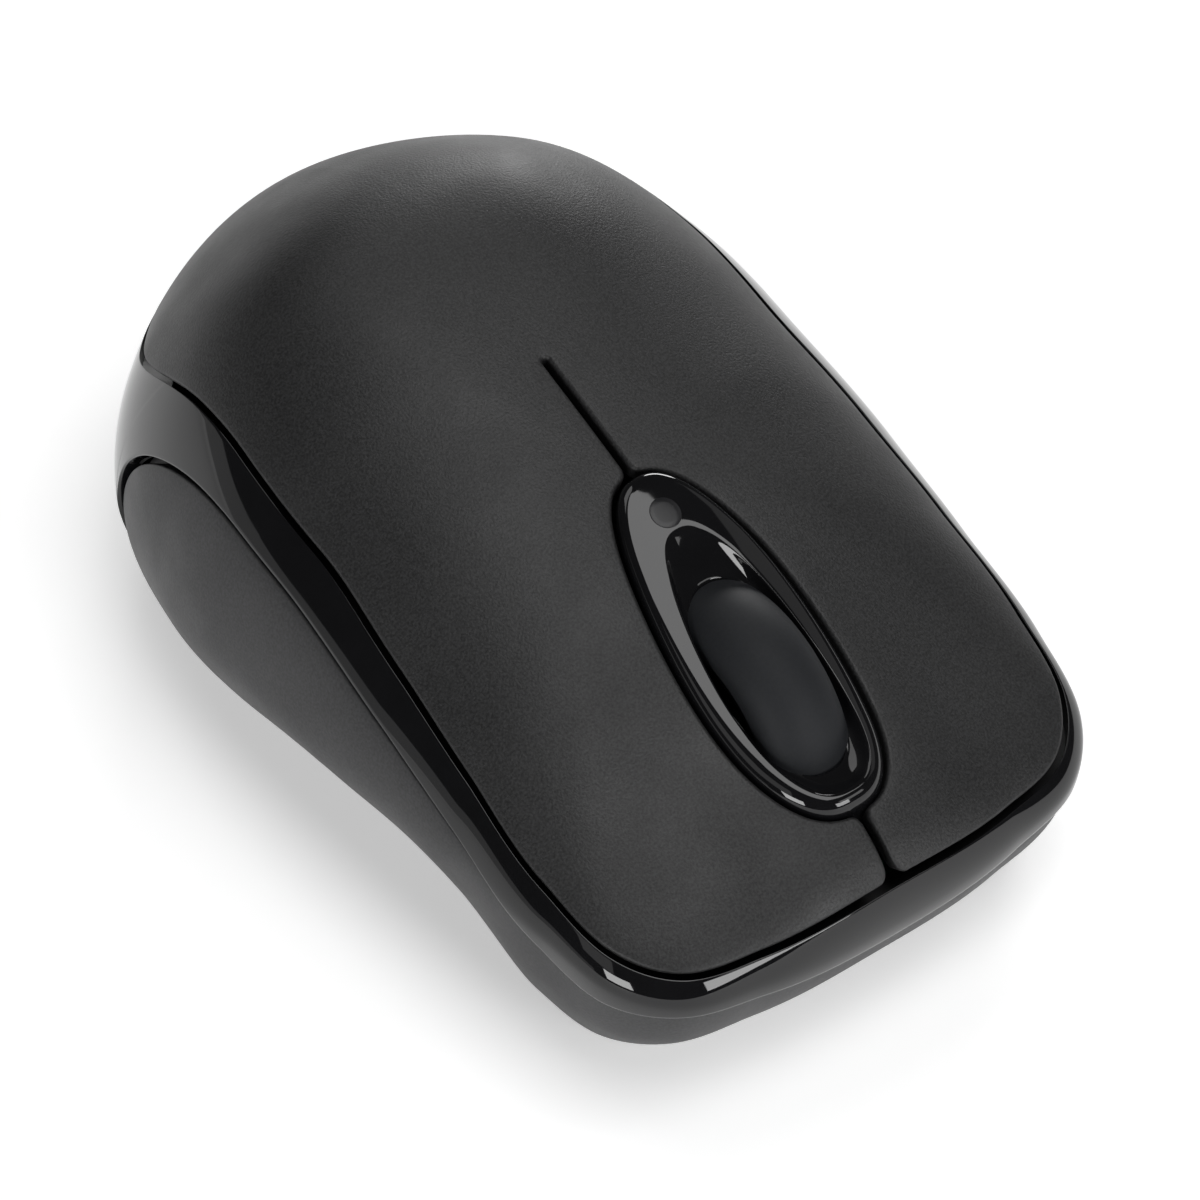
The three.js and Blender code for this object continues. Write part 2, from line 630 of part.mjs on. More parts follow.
function batteryDoor() {
  const panel = box([-DOOR.halfWidth, DOOR.rearY, DOOR.bottom], [DOOR.halfWidth, DOOR.frontY, DOOR.top]);
  const { fromRear, width, length, depth, pitch, count } = DOOR_GRIP;
  const grips = steps(count).map((i) => (
    block(0, DOOR.rearY + fromRear + i * pitch, width, length, 0, DOOR.bottom + depth)
  ));
  const joined = onBothSides(doorTab).reduce((door, tab) => door.add(tab), panel);
  return grips.reduce((door, groove) => door.subtract(groove), joined);
}

// ---- Wheel, carrier and encoder --------------------------------------------------------------
// The tread is half an ellipse across, highest in the middle.
function wheelTyre() {
  const half = WHEEL.width / 2;
  const bore = WHEEL.radius - WHEEL.tyre;
  const tread = steps(TYRE_STEPS + 1).map((i) => {
    const turn = (i / TYRE_STEPS - 0.5) * Math.PI;
    return [WHEEL.radius - WHEEL.crown * (1 - Math.cos(turn)), half * Math.sin(turn)];
  });
  const profile = [[bore, -half], ...tread, [bore, half], [bore, -half]];
  return turned(profile, [0, WHEEL.y, WHEEL.z], 'x', WHEEL_STEPS);
}

// The hub with its web and the axle, which reaches through the encoder on the left.
function wheelHub() {
  const outer = WHEEL.radius - WHEEL.tyre - HUB.fit;
  const inner = outer - HUB.rim;
  const half = WHEEL.width / 2 - HUB.inset;
  const axle = WHEEL.axleRadius;
  const { leftEnd, rightEnd, boss, halfWeb } = HUB;
  const profile = [
    [0, leftEnd], [axle, leftEnd], [axle, -half], [boss, -half], [boss, -halfWeb], [inner, -halfWeb],
    [inner, -half], [outer, -half], [outer, half], [inner, half], [inner, halfWeb], [boss, halfWeb],
    [boss, half], [axle, half], [axle, rightEnd], [0, rightEnd],
  ];
  return turned(profile, [0, WHEEL.y, WHEEL.z], 'x', WHEEL_STEPS);
}

const CARRIER = { halfWidth: 7.3, wall: 1.4, bottom: 9.2, top: 11.4, rearY: 12.3, frontY: 39 };
const CARRIER_ENDS = { rear: 1.7, front: 3 };
const ARM = { length: 7, headRadius: 3.5, axleGap: 0.15 };
const EAR = { outer: 14, inner: 7, rise: 0.9, height: 1.5 };

// An upright arm with a bearing for the axle.
function carrierArm(side) {
  const { halfWidth, wall, bottom } = CARRIER;
  const x = side * (halfWidth - wall / 2);
  const head = bar(x - wall / 2, x + wall / 2, WHEEL.y, WHEEL.z, ARM.headRadius);
  const arm = block(x, WHEEL.y, wall, ARM.length, bottom, WHEEL.z).add(head);
  return arm.subtract(bar(x - wall, x + wall, WHEEL.y, WHEEL.z, WHEEL.axleRadius + ARM.axleGap));
}

// An ear that lies over the wheel's switch on the right and over the spring on the left.
function carrierEar(side) {
  const half = TACT.side / 2;
  const [bottom, top] = [CARRIER.top + EAR.rise, CARRIER.top + EAR.rise + EAR.height];
  const plate = box([EAR.inner, TACT.y - half, bottom], [EAR.outer, TACT.y + half, top]);
  const rootX = CARRIER.halfWidth - CARRIER.wall;
  const root = box([rootX, TACT.y - half, CARRIER.bottom], [CARRIER.halfWidth, TACT.y + half, top]);
  const ear = plate.add(root);
  return side > 0 ? ear : ear.mirror([1, 0, 0]);
}

function wheelCarrier() {
  const { halfWidth, wall, bottom, top, rearY, frontY } = CARRIER;
  const inner = halfWidth - wall;
  const opening = box([-inner, rearY + CARRIER_ENDS.rear, 0], [inner, frontY - CARRIER_ENDS.front, FAR]);
  const frame = box([-halfWidth, rearY, bottom], [halfWidth, frontY, top]).subtract(opening);
  const added = onBothSides((side) => [carrierArm(side), carrierEar(side)]);
  const joined = added.reduce((whole, piece) => whole.add(piece), frame);
  return guidePinHoles().reduce((whole, hole) => whole.subtract(hole), joined);
}

function guidePinHoles() {
  return onBothSides((side) => post(side * GUIDE_PIN.x, GUIDE_PIN.y, GUIDE_PIN.holeRadius, 0, FAR));
}

const SPRING = { turns: 3, radius: 1.6, wire: 0.25, perTurn: 10 };

function carrierSpring() {
  const { turns, radius, wire, perTurn } = SPRING;
  const bottom = BOARD.top + GAP + wire;
  const top = CARRIER.top + EAR.rise - GAP - wire;
  const points = steps(turns * perTurn + 1).map((i) => {
    const turn = (i / perTurn) * 2 * Math.PI;
    const z = THREE.MathUtils.lerp(bottom, top, i / (turns * perTurn));
    return new THREE.Vector3(-TACT.x + radius * Math.cos(turn), TACT.y + radius * Math.sin(turn), z);
  });
  const section = new THREE.Shape();
  section.absarc(0, 0, wire, 0, 2 * Math.PI);
  return solid(new THREE.ExtrudeGeometry(section, {
    steps: turns * 12, curveSegments: 3, extrudePath: new THREE.CatmullRomCurve3(points),
  }));
}

function encoderBody() {
  const { left, right, halfLength, bottom, top } = ENCODER;
  const body = box([left, WHEEL.y - halfLength, bottom], [right, WHEEL.y + halfLength, top]);
  return body.subtract(bar(-FAR, 0, WHEEL.y, WHEEL.z, WHEEL.axleRadius + GAP));
}

// ---- Circuit board and what is on it ---------------------------------------------------------
const BOARD_HOLES = { wheelSlot: { width: 11, length: 18.4 }, sensorWindow: 4 };

function circuitBoard() {
  const length = BOARD.frontY - BOARD.rearY;
  const middle = (BOARD.frontY + BOARD.rearY) / 2;
  const plan = roundedPlan(0, middle, 2 * BOARD.halfWidth, length, BOARD.cornerRadius);
  const board = prism(plan, BOARD.bottom, BOARD.top, CORNER_STEPS);
  const { wheelSlot, sensorWindow } = BOARD_HOLES;
  const screwHole = BOARD_SCREW.radius + GAP;
  const holes = [
    block(0, WHEEL.y, wheelSlot.width, wheelSlot.length, 0, FAR),
    block(0, SENSOR.y, sensorWindow, sensorWindow, 0, FAR),
    ...onBothSides((side) => post(side * BOARD_SCREW.x, BOARD_SCREW.y, screwHole, 0, FAR)),
    ...guidePinHoles(),
  ];
  return holes.reduce((plate, hole) => plate.subtract(hole), board);
}

const SWITCH_SLOT = { width: 1.8, length: 3, depth: 2 };
const SWITCH_PLUNGER = { width: 1.2, length: 2.4, depth: 1.2 };

function switchBody(side) {
  const [x, top] = [side * SWITCH.x, BOARD.top + SWITCH.height];
  const { width, length, depth } = SWITCH_SLOT;
  const body = block(x, SWITCH.y, SWITCH.width, SWITCH.length, BOARD.top + GAP, top);
  return body.subtract(block(x, SWITCH.y, width, length, top - depth, FAR));
}

function switchPlunger(side) {
  const top = BOARD.top + SWITCH.height;
  const { width, length, depth } = SWITCH_PLUNGER;
  return block(side * SWITCH.x, SWITCH.y, width, length, top - depth, top + SWITCH.plungerRise);
}

const TACT_WELL = { radius: 1.8, depth: 1.4 };
const TACT_PLUNGER = { radius: 1.5, depth: 0.7 };

function tactBody() {
  const top = BOARD.top + TACT.height;
  const body = block(TACT.x, TACT.y, TACT.side, TACT.side, BOARD.top + GAP, top);
  return body.subtract(post(TACT.x, TACT.y, TACT_WELL.radius, top - TACT_WELL.depth, FAR));
}

function tactPlunger() {
  const bottom = BOARD.top + TACT.height - TACT_PLUNGER.depth;
  return post(TACT.x, TACT.y, TACT_PLUNGER.radius, bottom, CARRIER.top + EAR.rise - GAP);
}

function sensorChip() {
  return block(0, SENSOR.y, SENSOR.width, SENSOR.length, BOARD.top + GAP, BOARD.top + SENSOR.height);
}

const SENSOR_LENS = { width: 12, length: 5, plateBottom: 3.4, plateTop: 4.6, radius: 2.2, bottom: 1.6 };

function sensorLens() {
  const { width, length, plateBottom, plateTop, radius, bottom } = SENSOR_LENS;
  const plate = block(0, SENSOR.y, width, length, plateBottom, plateTop);
  return plate.add(post(0, SENSOR.y, radius, bottom, BOARD.bottom - GAP));
}

const SENSOR_LED = { x: -9.4, y: 13.5, radius: 1.5, sideTop: 3, domeRadius: 1, domeSide: 4, top: 4.4 };

function sensorLed() {
  const { x, y, radius, sideTop, domeRadius, domeSide, top } = SENSOR_LED;
  const profile = [[0, 0], [radius, 0], [radius, sideTop], [domeRadius, domeSide], [0, top]];
  return turned(profile, [x, y, BOARD.top + GAP], 'z', SMALL_ROUND_STEPS);
}

const CHIP = { x: -11, y: 27, side: 7, height: 1.3 };
const CRYSTAL = { x: 12.5, y: 11.5, width: 3.6, length: 8, radius: 1.7, height: 3.4 };
const CAPACITOR = { x: -17, y: 16, radius: 2, height: 5 };
const INDICATOR_LED = { radius: 1.2, bottom: 26 };

// The controller hangs under the board.
function controllerChip() {
  const top = BOARD.bottom - GAP;
  return block(CHIP.x, CHIP.y, CHIP.side, CHIP.side, top - CHIP.height, top);
}

function crystal() {
  const { x, y, width, length, radius, height } = CRYSTAL;
  return prism(roundedPlan(x, y, width, length, radius), BOARD.top + GAP, BOARD.top + height, CORNER_STEPS);
}

function capacitor() {
  const { x, y, radius, height } = CAPACITOR;
  return post(x, y, radius, BOARD.top + GAP, BOARD.top + height, SMALL_ROUND_STEPS);
}

// The light under the bezel's lens.
function indicatorLed() {
  const top = crownOver(0, LENS.y) + LENS.rise - LENS.length - GAP;
  return post(0, LENS.y, INDICATOR_LED.radius, INDICATOR_LED.bottom, top, SMALL_ROUND_STEPS);
}

// ---- Power -----------------------------------------------------------------------------------
// A small round cell lying along Y, with its raised contact in front.
const CELL_END = { rearRadius: 4.6, frontRadius: 4.8, bevel: 0.6, nubRadius: 1.9, nubLength: 1 };
const CONTACT = { halfWidth: 4, thickness: 0.5, above: 4, below: 4 };
const BATTERY_SPRING = { rearY: -43.9, below: 2.6, wide: 2.8, narrow: 1.8 };

function batteryCell() {
  const { rearRadius, frontRadius, bevel, nubRadius, nubLength } = CELL_END;
  const body = CELL.length - nubLength;
  const profile = [[0, 0], [rearRadius, 0], [CELL.radius, bevel], [CELL.radius, body - bevel],
    [frontRadius, body], [nubRadius, body], [nubRadius, CELL.length], [0, CELL.length]];
  return turned(profile, [0, CELL.rearY, CELL.z], 'y');
}

function batterySpring() {
  const { rearY, below, wide, narrow } = BATTERY_SPRING;
  const { halfWidth, thickness, above } = CONTACT;
  const reach = CELL.rearY - GAP - rearY;
  const plate = box([-halfWidth, rearY, CELL.z - below], [halfWidth, rearY + thickness, CELL.z + above]);
  const profile = [[0, 0], [wide, 0], [narrow, reach], [0, reach]];
  return plate.add(turned(profile, [0, rearY, CELL.z], 'y', SMALL_ROUND_STEPS));
}

function batteryContact() {
  const { halfWidth, thickness, above, below } = CONTACT;
  const rear = CELL.rearY + CELL.length + GAP;
  return box([-halfWidth, rear, CELL.z - below], [halfWidth, rear + thickness, CELL.z + above]);
}

const SWITCH_CASE = { bottom: 3.8, sideWall: 0.8, endWall: 1, hollowTop: 5.4 };
const KNOB = { bottom: 0.4, top: 3.2, stemWidth: 1.4, stemLength: 1.6, stemTop: 5 };

function powerSwitchBody() {
  const { x, y, length, width } = POWER_SWITCH;
  const { bottom, sideWall, endWall, hollowTop } = SWITCH_CASE;
  const body = block(x, y, width, length, bottom, BOARD.bottom - GAP);
  return body.subtract(block(x, y, width - 2 * sideWall, length - 2 * endWall, 0, hollowTop));
}

function powerSwitchSlider() {
  const { x, y, travel, knob } = POWER_SWITCH;
  const rest = y - travel / 2;
  const stem = block(x, rest, KNOB.stemWidth, KNOB.stemLength, KNOB.top - PAST, KNOB.stemTop);
  return block(x, rest, knob, knob, KNOB.bottom, KNOB.top).add(stem);
}

// ---- Receiver --------------------------------------------------------------------------------
const PLUG_BOTTOM = RECEIVER_CAP.bottom + RECEIVER_CAP.height + GAP;
const PLUG = { sheet: 0.35, floor: 0.8 };
const TONGUE = { offset: -0.8, width: 1.6, shorter: 1.4, height: 9.6 };

function receiverCap() {
  const { length, width, bottom, height, round } = RECEIVER_CAP;
  return prism(roundedPlan(DOCK.x, DOCK.y, width, length, round), bottom, bottom + height, CORNER_STEPS);
}

function receiverPlug() {
  const { x, y, plugWidth, plugLength, plugHeight } = DOCK;
  const shell = block(x, y, plugWidth, plugLength, PLUG_BOTTOM, PLUG_BOTTOM + plugHeight - GAP);
  const inner = [plugWidth - 2 * PLUG.sheet, plugLength - 2 * PLUG.sheet];
  return shell.subtract(block(x, y, ...inner, PLUG_BOTTOM + PLUG.floor, FAR));
}

function receiverTongue() {
  const bottom = PLUG_BOTTOM + PLUG.floor + GAP;
  const length = DOCK.plugLength - TONGUE.shorter;
  return block(DOCK.x + TONGUE.offset, DOCK.y, TONGUE.width, length, bottom, bottom + TONGUE.height);
}

// ---- Screws ----------------------------------------------------------------------------------
const SCREW_HEAD = { sideTop: 1.1, top: 1.5, crossLength: 2.4, crossWidth: 0.6, crossDepth: 0.6, tip: 0.8 };

// A screw standing on its head, with a cross in the head's underside.
function screw(x, y, headBottom, { radius, headRadius, length }) {
  const { sideTop, top, crossLength, crossWidth, crossDepth, tip } = SCREW_HEAD;
  const profile = [[0, 0], [headRadius, 0], [headRadius, sideTop], [radius, top], [radius, length],
    [0, length + tip]];
  const cut = [headBottom - 1, headBottom + crossDepth];
  return turned(profile, [x, y, headBottom], 'z', SMALL_ROUND_STEPS)
    .subtract(block(x, y, crossWidth, crossLength, ...cut))
    .subtract(block(x, y, crossLength, crossWidth, ...cut));
}

function caseScrew(side) {
  return screw(side * CASE_SCREW.x, CASE_SCREW.y, CASE_SCREW.headBottom, CASE_SCREW);
}

function boardScrew(side) {
  const upsideDown = screw(side * BOARD_SCREW.x, -BOARD_SCREW.y, 0, BOARD_SCREW);
  return upsideDown.rotate([180, 0, 0]).translate([0, 0, BOARD.top + GAP + SCREW_HEAD.top]);
}

// ---- Assembly --------------------------------------------------------------------------------
const blank = shellBlank();
addNode('top_shell', MATTE_BLACK, topShell(blank));
addNode('left_button', MATTE_BLACK, button(blank, -1));
addNode('right_button', MATTE_BLACK, button(blank, 1));
addNode('wheel_bezel', GLOSS_BLACK, wheelBezel());
addNode('indicator_lens', SMOKED, indicatorLens());
addNode('trim_band', GLOSS_BLACK, trimBand());
addNode('base_shell', CASE_GREY, baseShell());
addNode('battery_door', CASE_GREY, batteryDoor());
for (const [name, foot] of Object.entries(FEET)) {
  addNode(name, FOOT_GREY, prism(footPlan(foot, 0), 0, FOOT_TOP, CORNER_STEPS));
}
addNode('wheel_tyre', RUBBER, wheelTyre());
addNode('wheel_hub', CHIP_BLACK, wheelHub());
addNode('wheel_carrier', CHIP_BLACK, wheelCarrier());
addNode('carrier_spring', STEEL, carrierSpring());
addNode('encoder_body', CHIP_BLACK, encoderBody());
addNode('circuit_board', BOARD_GREEN, circuitBoard());
for (const [label, side] of [['left', -1], ['right', 1]]) {
  addNode(`${label}_switch_body`, CHIP_BLACK, switchBody(side));
  addNode(`${label}_switch_plunger`, WHITE_PLASTIC, switchPlunger(side));
  addNode(`${label}_case_screw`, STEEL, caseScrew(side));
  addNode(`${label}_board_screw`, STEEL, boardScrew(side));
}
addNode('wheel_switch_body', CHIP_BLACK, tactBody());
addNode('wheel_switch_plunger', WHITE_PLASTIC, tactPlunger());
addNode('sensor_chip', CHIP_BLACK, sensorChip());
addNode('sensor_lens', CLEAR, sensorLens());
addNode('sensor_led', CLEAR, sensorLed());
addNode('controller_chip', CHIP_BLACK, controllerChip());
addNode('crystal', STEEL, crystal());
addNode('capacitor', CELL_SLEEVE, capacitor());
addNode('indicator_led', WHITE_PLASTIC, indicatorLed());
addNode('battery_cell', CELL_SLEEVE, batteryCell());
addNode('battery_spring', STEEL, batterySpring());
addNode('battery_contact', STEEL, batteryContact());
addNode('power_switch_body', CHIP_BLACK, powerSwitchBody());
addNode('power_switch_slider', CHIP_BLACK, powerSwitchSlider());
addNode('receiver_cap', CHIP_BLACK, receiverCap());
addNode('receiver_plug', STEEL, receiverPlug());
addNode('receiver_tongue', WHITE_PLASTIC, receiverTongue());

export default mouse;
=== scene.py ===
import json
import math

import bmesh
import bpy
import numpy as np
from mathutils import Matrix, Vector
from mathutils.geometry import delaunay_2d_cdt
from mathutils.kdtree import KDTree


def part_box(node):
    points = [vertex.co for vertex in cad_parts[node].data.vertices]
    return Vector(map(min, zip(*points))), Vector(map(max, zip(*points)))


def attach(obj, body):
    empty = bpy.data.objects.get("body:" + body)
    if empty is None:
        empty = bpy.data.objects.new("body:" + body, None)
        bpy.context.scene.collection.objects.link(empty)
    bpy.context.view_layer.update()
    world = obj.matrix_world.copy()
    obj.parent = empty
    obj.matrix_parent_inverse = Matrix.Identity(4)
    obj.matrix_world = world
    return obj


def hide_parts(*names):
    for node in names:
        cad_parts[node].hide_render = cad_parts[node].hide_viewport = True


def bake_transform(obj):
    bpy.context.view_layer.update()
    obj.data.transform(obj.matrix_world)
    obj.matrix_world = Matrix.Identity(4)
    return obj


# The looks of a compact wireless mouse, built round its CAD frame. Shapes are worked out in
# millimetres and scaled to the scene's metres when a mesh is made. +Y is the front, +Z up.
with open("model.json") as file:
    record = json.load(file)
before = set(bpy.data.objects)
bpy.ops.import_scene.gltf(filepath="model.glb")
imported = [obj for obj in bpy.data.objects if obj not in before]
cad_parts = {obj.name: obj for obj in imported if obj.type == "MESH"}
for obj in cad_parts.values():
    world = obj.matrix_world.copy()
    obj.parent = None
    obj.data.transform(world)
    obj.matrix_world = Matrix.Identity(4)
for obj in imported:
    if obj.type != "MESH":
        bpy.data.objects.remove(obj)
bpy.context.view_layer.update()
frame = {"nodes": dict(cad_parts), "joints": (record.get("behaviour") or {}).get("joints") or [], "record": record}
MM = 0.001

# ---- Driving dimensions of the body, the same as the CAD model's -------------------------------
# The body is swept round a vertical axis at CENTRE_Y. "Facing" is a direction seen from there,
# in degrees: -90 is the rear, 0 either side and 90 the front. Each list holds stations of
# (facing or y, value), joined by a smooth curve.
CENTRE_Y = 5
RIM_RADIUS = [(-90, 52.6), (-65, 48.6), (-40, 38.9), (-15, 31.7), (10, 30.3), (30, 33.2),
              (45, 39.1), (54, 43.7), (62, 45.2), (72, 43.9), (90, 42.6)]
RIM_HEIGHT = [(-50, 9.2), (-20, 12.2), (10, 15.1), (33, 15.1), (55, 11.4)]
CROWN_HEIGHT = [(-43, 37.5), (-23, 41.5), (-3, 37.2), (17, 31.1), (35, 23.2), (57, 19.7)]
FULLNESS = [(-90, 5), (-45, 2.7), (0, 2.5), (45, 2.9), (68, 4.3), (90, 12)]
SEAM_INSET = [(-90, 1.6), (-65, 2.3), (-50, 6.5), (-38, 7.4), (-20, 6.5), (0, 5.1), (30, 3.3),
              (60, 1.5), (90, 0.9)]
FOOTPRINT_INSET = [(-50, 5.2), (-33, 3.8), (-10, 9), (13, 12.2), (31, 5.4), (55, 7)]
UNDERCUT_POWER = 1.8
BASE_Z = 0.8
BAND_EDGE_HEIGHT = [(-45, 26.8), (-30, 26.3), (-1, 23.6), (22, 20.1), (34, 17.4), (45, 13.7),
                    (52, 11.9), (62, 11.6), (90, 10.1)]
ARCH_START = -28
ARCH_END = -55.5
ARCH_POWER = 3
ARCH_FOOT_Z = 3
FLOOR_TOP = 2.6

# ---- Walls, gaps and edges ---------------------------------------------------------------------
COVER_WALL = 1.6
COVER_EDGE = 0.42
COVER_CORNER = 1.1
COVER_SPACING = 0.85
SEAM_GAP = 0.26
# The slot between the buttons.
SLOT_REAR_Y = -4
SLOT_HALF_REAR = 0.33
SLOT_HALF_FRONT = 0.42
SLOT_FRONT_Y = 46
BAND_WALL = 1.5
BAND_LIP = 0.38
BAND_EDGE = 0.3
LEDGE_DEPTH = 2.9
LEDGE_WIDTH = 3.2
LEDGE_THICKNESS = 1
BAND_INSIDE_DROP = 1.3
PANEL_GAP = 0.3
DOOR_GAP = 0.35
FOOT_RECESS_Z = 1.3
CASE_EARLIER = 0.8
CASE_SET_BACK = 0.45
CASE_EDGE = 0.3
BOTTOM_EDGE = 0.8
TONGUE_DEPTH = 2.1
TONGUE_WALL = 1
TONGUE_RISE = 2.2
TONGUE_ROOM = 1.8

# ---- The underside's pieces --------------------------------------------------------------------
DOOR_CORNER = 1.5
DOOR_TOP = 2.4
# Each grip is a row of grooves of this half length, half width and depth.
DOOR_GRIP = {"count": 4, "apart": 2.2, "half_length": 4, "half_width": 0.45, "depth": 0.45}
CAP_GRIP = {"count": 3, "apart": 1.6, "half_length": 1.8, "half_width": 0.35, "depth": 0.4}
CAP_CORNER = 1.6
SLIDER_CORNER = 0.4
SLIDER_PLATE = (0.9, 3)
SLIDER_RIB = {"apart": 0.9, "half": Vector((1.1, 0.22)), "top": 1}
SLIDER_STEM = {"half": Vector((0.7, 0.8)), "bottom": 2.9}
SENSOR_HOLE_RADIUS = 3.2
HOUSING_WALL = 1.2
HOUSING_EDGE = 0.6
BAY_MARGIN = 2.5

# ---- The bezel and the wheel -------------------------------------------------------------------
# The bezel's three outlines: its outer edge, the crest round its scoop and the wheel's window.
BEZEL_EDGE = {"rear": 8.7, "front": 41.4, "half": 7.3, "tip": 0.13, "power": 0.8}
BEZEL_CREST = {"rear": 15.2, "front": 40, "half": 4.95, "tip": 0.16, "power": 0.8}
WHEEL_WINDOW = {"rear": 19.3, "front": 37.1, "half": 4.5, "tip": 0, "power": 0.85}
BEZEL_GAP = 0.35
BEZEL_RISE = 1.0
BEZEL_BOW = 0.012
BEZEL_FLANK = 1.3
BEZEL_FLANK_WIDTH = 1.5
BEZEL_CREST_EDGE = 0.16
BEZEL_DEPTH = 2.9
SCOOP_DEPTH = 1.4
# The lens's rings, from its foot up: (growth of the radius, height over the bezel).
LENS_RINGS = [(0, -0.8), (0, 0), (-0.02, 0.03), (-0.06, 0.045), (-0.5, 0.05), (-0.9, 0.052)]
TYRE_CROWN = 3
TYRE_DEPTH = 3.6
SPRING = {"wire": 0.25, "turns": 3, "per_turn": 24, "sides": 10}

# ---- The camera and the lit table --------------------------------------------------------------
VIEW_AZIMUTH = 141.07
VIEW_ELEVATION = 49
VIEW_ROLL = 2.376
VIEW_DISTANCE = 0.7194
VIEW_TARGET = Vector((0.26, 5.37, 14.61))
CAMERA_LENS = 246.4
TABLE_REACH = 3
TABLE_GLOW = 0.42
WORLD_GLOW = 0.05

# ---- Curves and the body's surface -------------------------------------------------------------
def through(stations, place):
    """A smooth curve through the stations, level at both ends."""
    last = len(stations) - 1
    at = min(max(place, stations[0][0]), stations[last][0])
    i = 0
    while i < last - 1 and at > stations[i + 1][0]:
        i += 1

    def slope(k):
        if k in (0, last):
            return 0
        return (stations[k + 1][1] - stations[k - 1][1]) / (stations[k + 1][0] - stations[k - 1][0])

    span = stations[i + 1][0] - stations[i][0]
    s = (at - stations[i][0]) / span
    start = stations[i][1] * (2 * s**3 - 3 * s**2 + 1) + slope(i) * span * (s**3 - 2 * s**2 + s)
    return start + stations[i + 1][1] * (3 * s**2 - 2 * s**3) + slope(i + 1) * span * (s**3 - s**2)


def lerp(a, b, share):
    return a + (b - a) * share


def smooth(low, high, value):
    """0 below low, 1 above high and a smooth rise between."""
    s = min(max((value - low) / (high - low), 0), 1)
    return s * s * (3 - 2 * s)


def facing(angle):
    """The direction in degrees, with the left side folded onto the right."""
    return math.degrees(math.asin(min(max(math.sin(angle), -1), 1)))


def rim_radius(angle):
    return through(RIM_RADIUS, facing(angle))


def rim_height(angle):
    return through(RIM_HEIGHT, CENTRE_Y + rim_radius(angle) * math.sin(angle))


def upper(angle, share):
    """The upper surface, from the axis (share 0) to the body's widest line (1)."""
    radius = rim_radius(angle) * share
    y = CENTRE_Y + radius * math.sin(angle)
    rim = rim_height(angle)
    drop = math.sqrt(max(0, 1 - share ** through(FULLNESS, facing(angle))))
    return Vector((radius * math.cos(angle), y, rim + (through(CROWN_HEIGHT, y) - rim) * drop))


def lower(angle, share):
    """The undercut side, from the widest line (share 0) to the footprint (1)."""
    radius = rim_radius(angle)
    inset = through(FOOTPRINT_INSET, CENTRE_Y + radius * math.sin(angle)) * share**UNDERCUT_POWER
    plan = radius - inset
    height = lerp(rim_height(angle), BASE_Z, share)
    return Vector((plan * math.cos(angle), CENTRE_Y + plan * math.sin(angle), height))


def skin(angle, girth):
    """The whole outer surface: girth 0 at the crown, 1 at the widest line, 2 at the footprint."""
    if girth <= 1:
        return upper(angle, math.sin(girth * math.pi / 2))
    return lower(angle, min(girth, 2) - 1)


def skin_normal(angle, girth):
    """The outward normal of the outer surface."""
    step = 0.01
    around = skin(angle + step, girth) - skin(angle - step, girth)
    down = skin(angle, min(2, girth + step)) - skin(angle, max(0, girth - step))
    return down.cross(around).normalized()


def behind(angle, girth, depth):
    """A point below the outer surface, square to it."""
    return skin(angle, girth) - skin_normal(angle, girth) * depth


def plan_place(x, y):
    """The (angle, girth) of the upper surface over a point of the plan."""
    angle = math.atan2(y - CENTRE_Y, x)
    share = min(1, math.hypot(x, y - CENTRE_Y) / rim_radius(angle))
    return angle, math.asin(share) / (math.pi / 2)


def crown_over(x, y):
    return skin(*plan_place(x, y)).z


def seam_girth(angle, extra_inset=0):
    """The girth of the seam between the cover and the band."""
    inset = through(SEAM_INSET, facing(angle)) + extra_inset
    return math.asin(1 - inset / rim_radius(angle)) / (math.pi / 2)


def band_edge_height(angle, earlier=0):
    """The band's lower edge; the case turns down the arch a little earlier."""
    direction = facing(angle)
    drop = min(max((ARCH_START - direction + earlier) / (ARCH_START - ARCH_END), 0), 1)
    arch = (1 - drop**ARCH_POWER) ** (1 / ARCH_POWER)
    return lerp(ARCH_FOOT_Z, through(BAND_EDGE_HEIGHT, direction), arch)


def girth_at_height(angle, height):
    """The girth at which the skin comes down to a height."""
    low, high = 0.3, 2
    for _ in range(30):
        middle = (low + high) / 2
        if skin(angle, middle).z > height:
            low = middle
        else:
            high = middle
    return low


def ring_angles(front_steps=150, arch_steps=44, rear_steps=56):
    """Directions once round the body, closer together where the band's arch comes down."""
    front = [90 - i * (90 - ARCH_START) / front_steps for i in range(front_steps)]
    turns = [(i / arch_steps) * (math.pi / 2) for i in range(arch_steps + 1)]
    arch = [ARCH_START - (ARCH_START - ARCH_END) * math.sin(t) ** (2 / ARCH_POWER) for t in turns]
    rear = [ARCH_END - 0.6 - i * (89.4 + ARCH_END) / rear_steps for i in range(rear_steps)]
    right = [*front, *arch, *rear, -90]
    left = [180 - direction for direction in reversed(right[1:-1])]
    return [math.radians(direction) for direction in [*right, *left]]


RING = ring_angles()

# ---- Outlines ----------------------------------------------------------------------------------
def egg(shape, t, grow=0):
    """A point of an egg outline: t runs once round from the rear end."""
    middle = (shape["rear"] + shape["front"]) / 2
    half_length = (shape["front"] - shape["rear"]) / 2 + grow
    across = abs(math.sin(t)) ** shape["power"] * (1 - shape["tip"] * math.cos(t))
    x = (shape["half"] + grow) * math.copysign(across, math.sin(t))
    return Vector((x, middle - half_length * math.cos(t)))


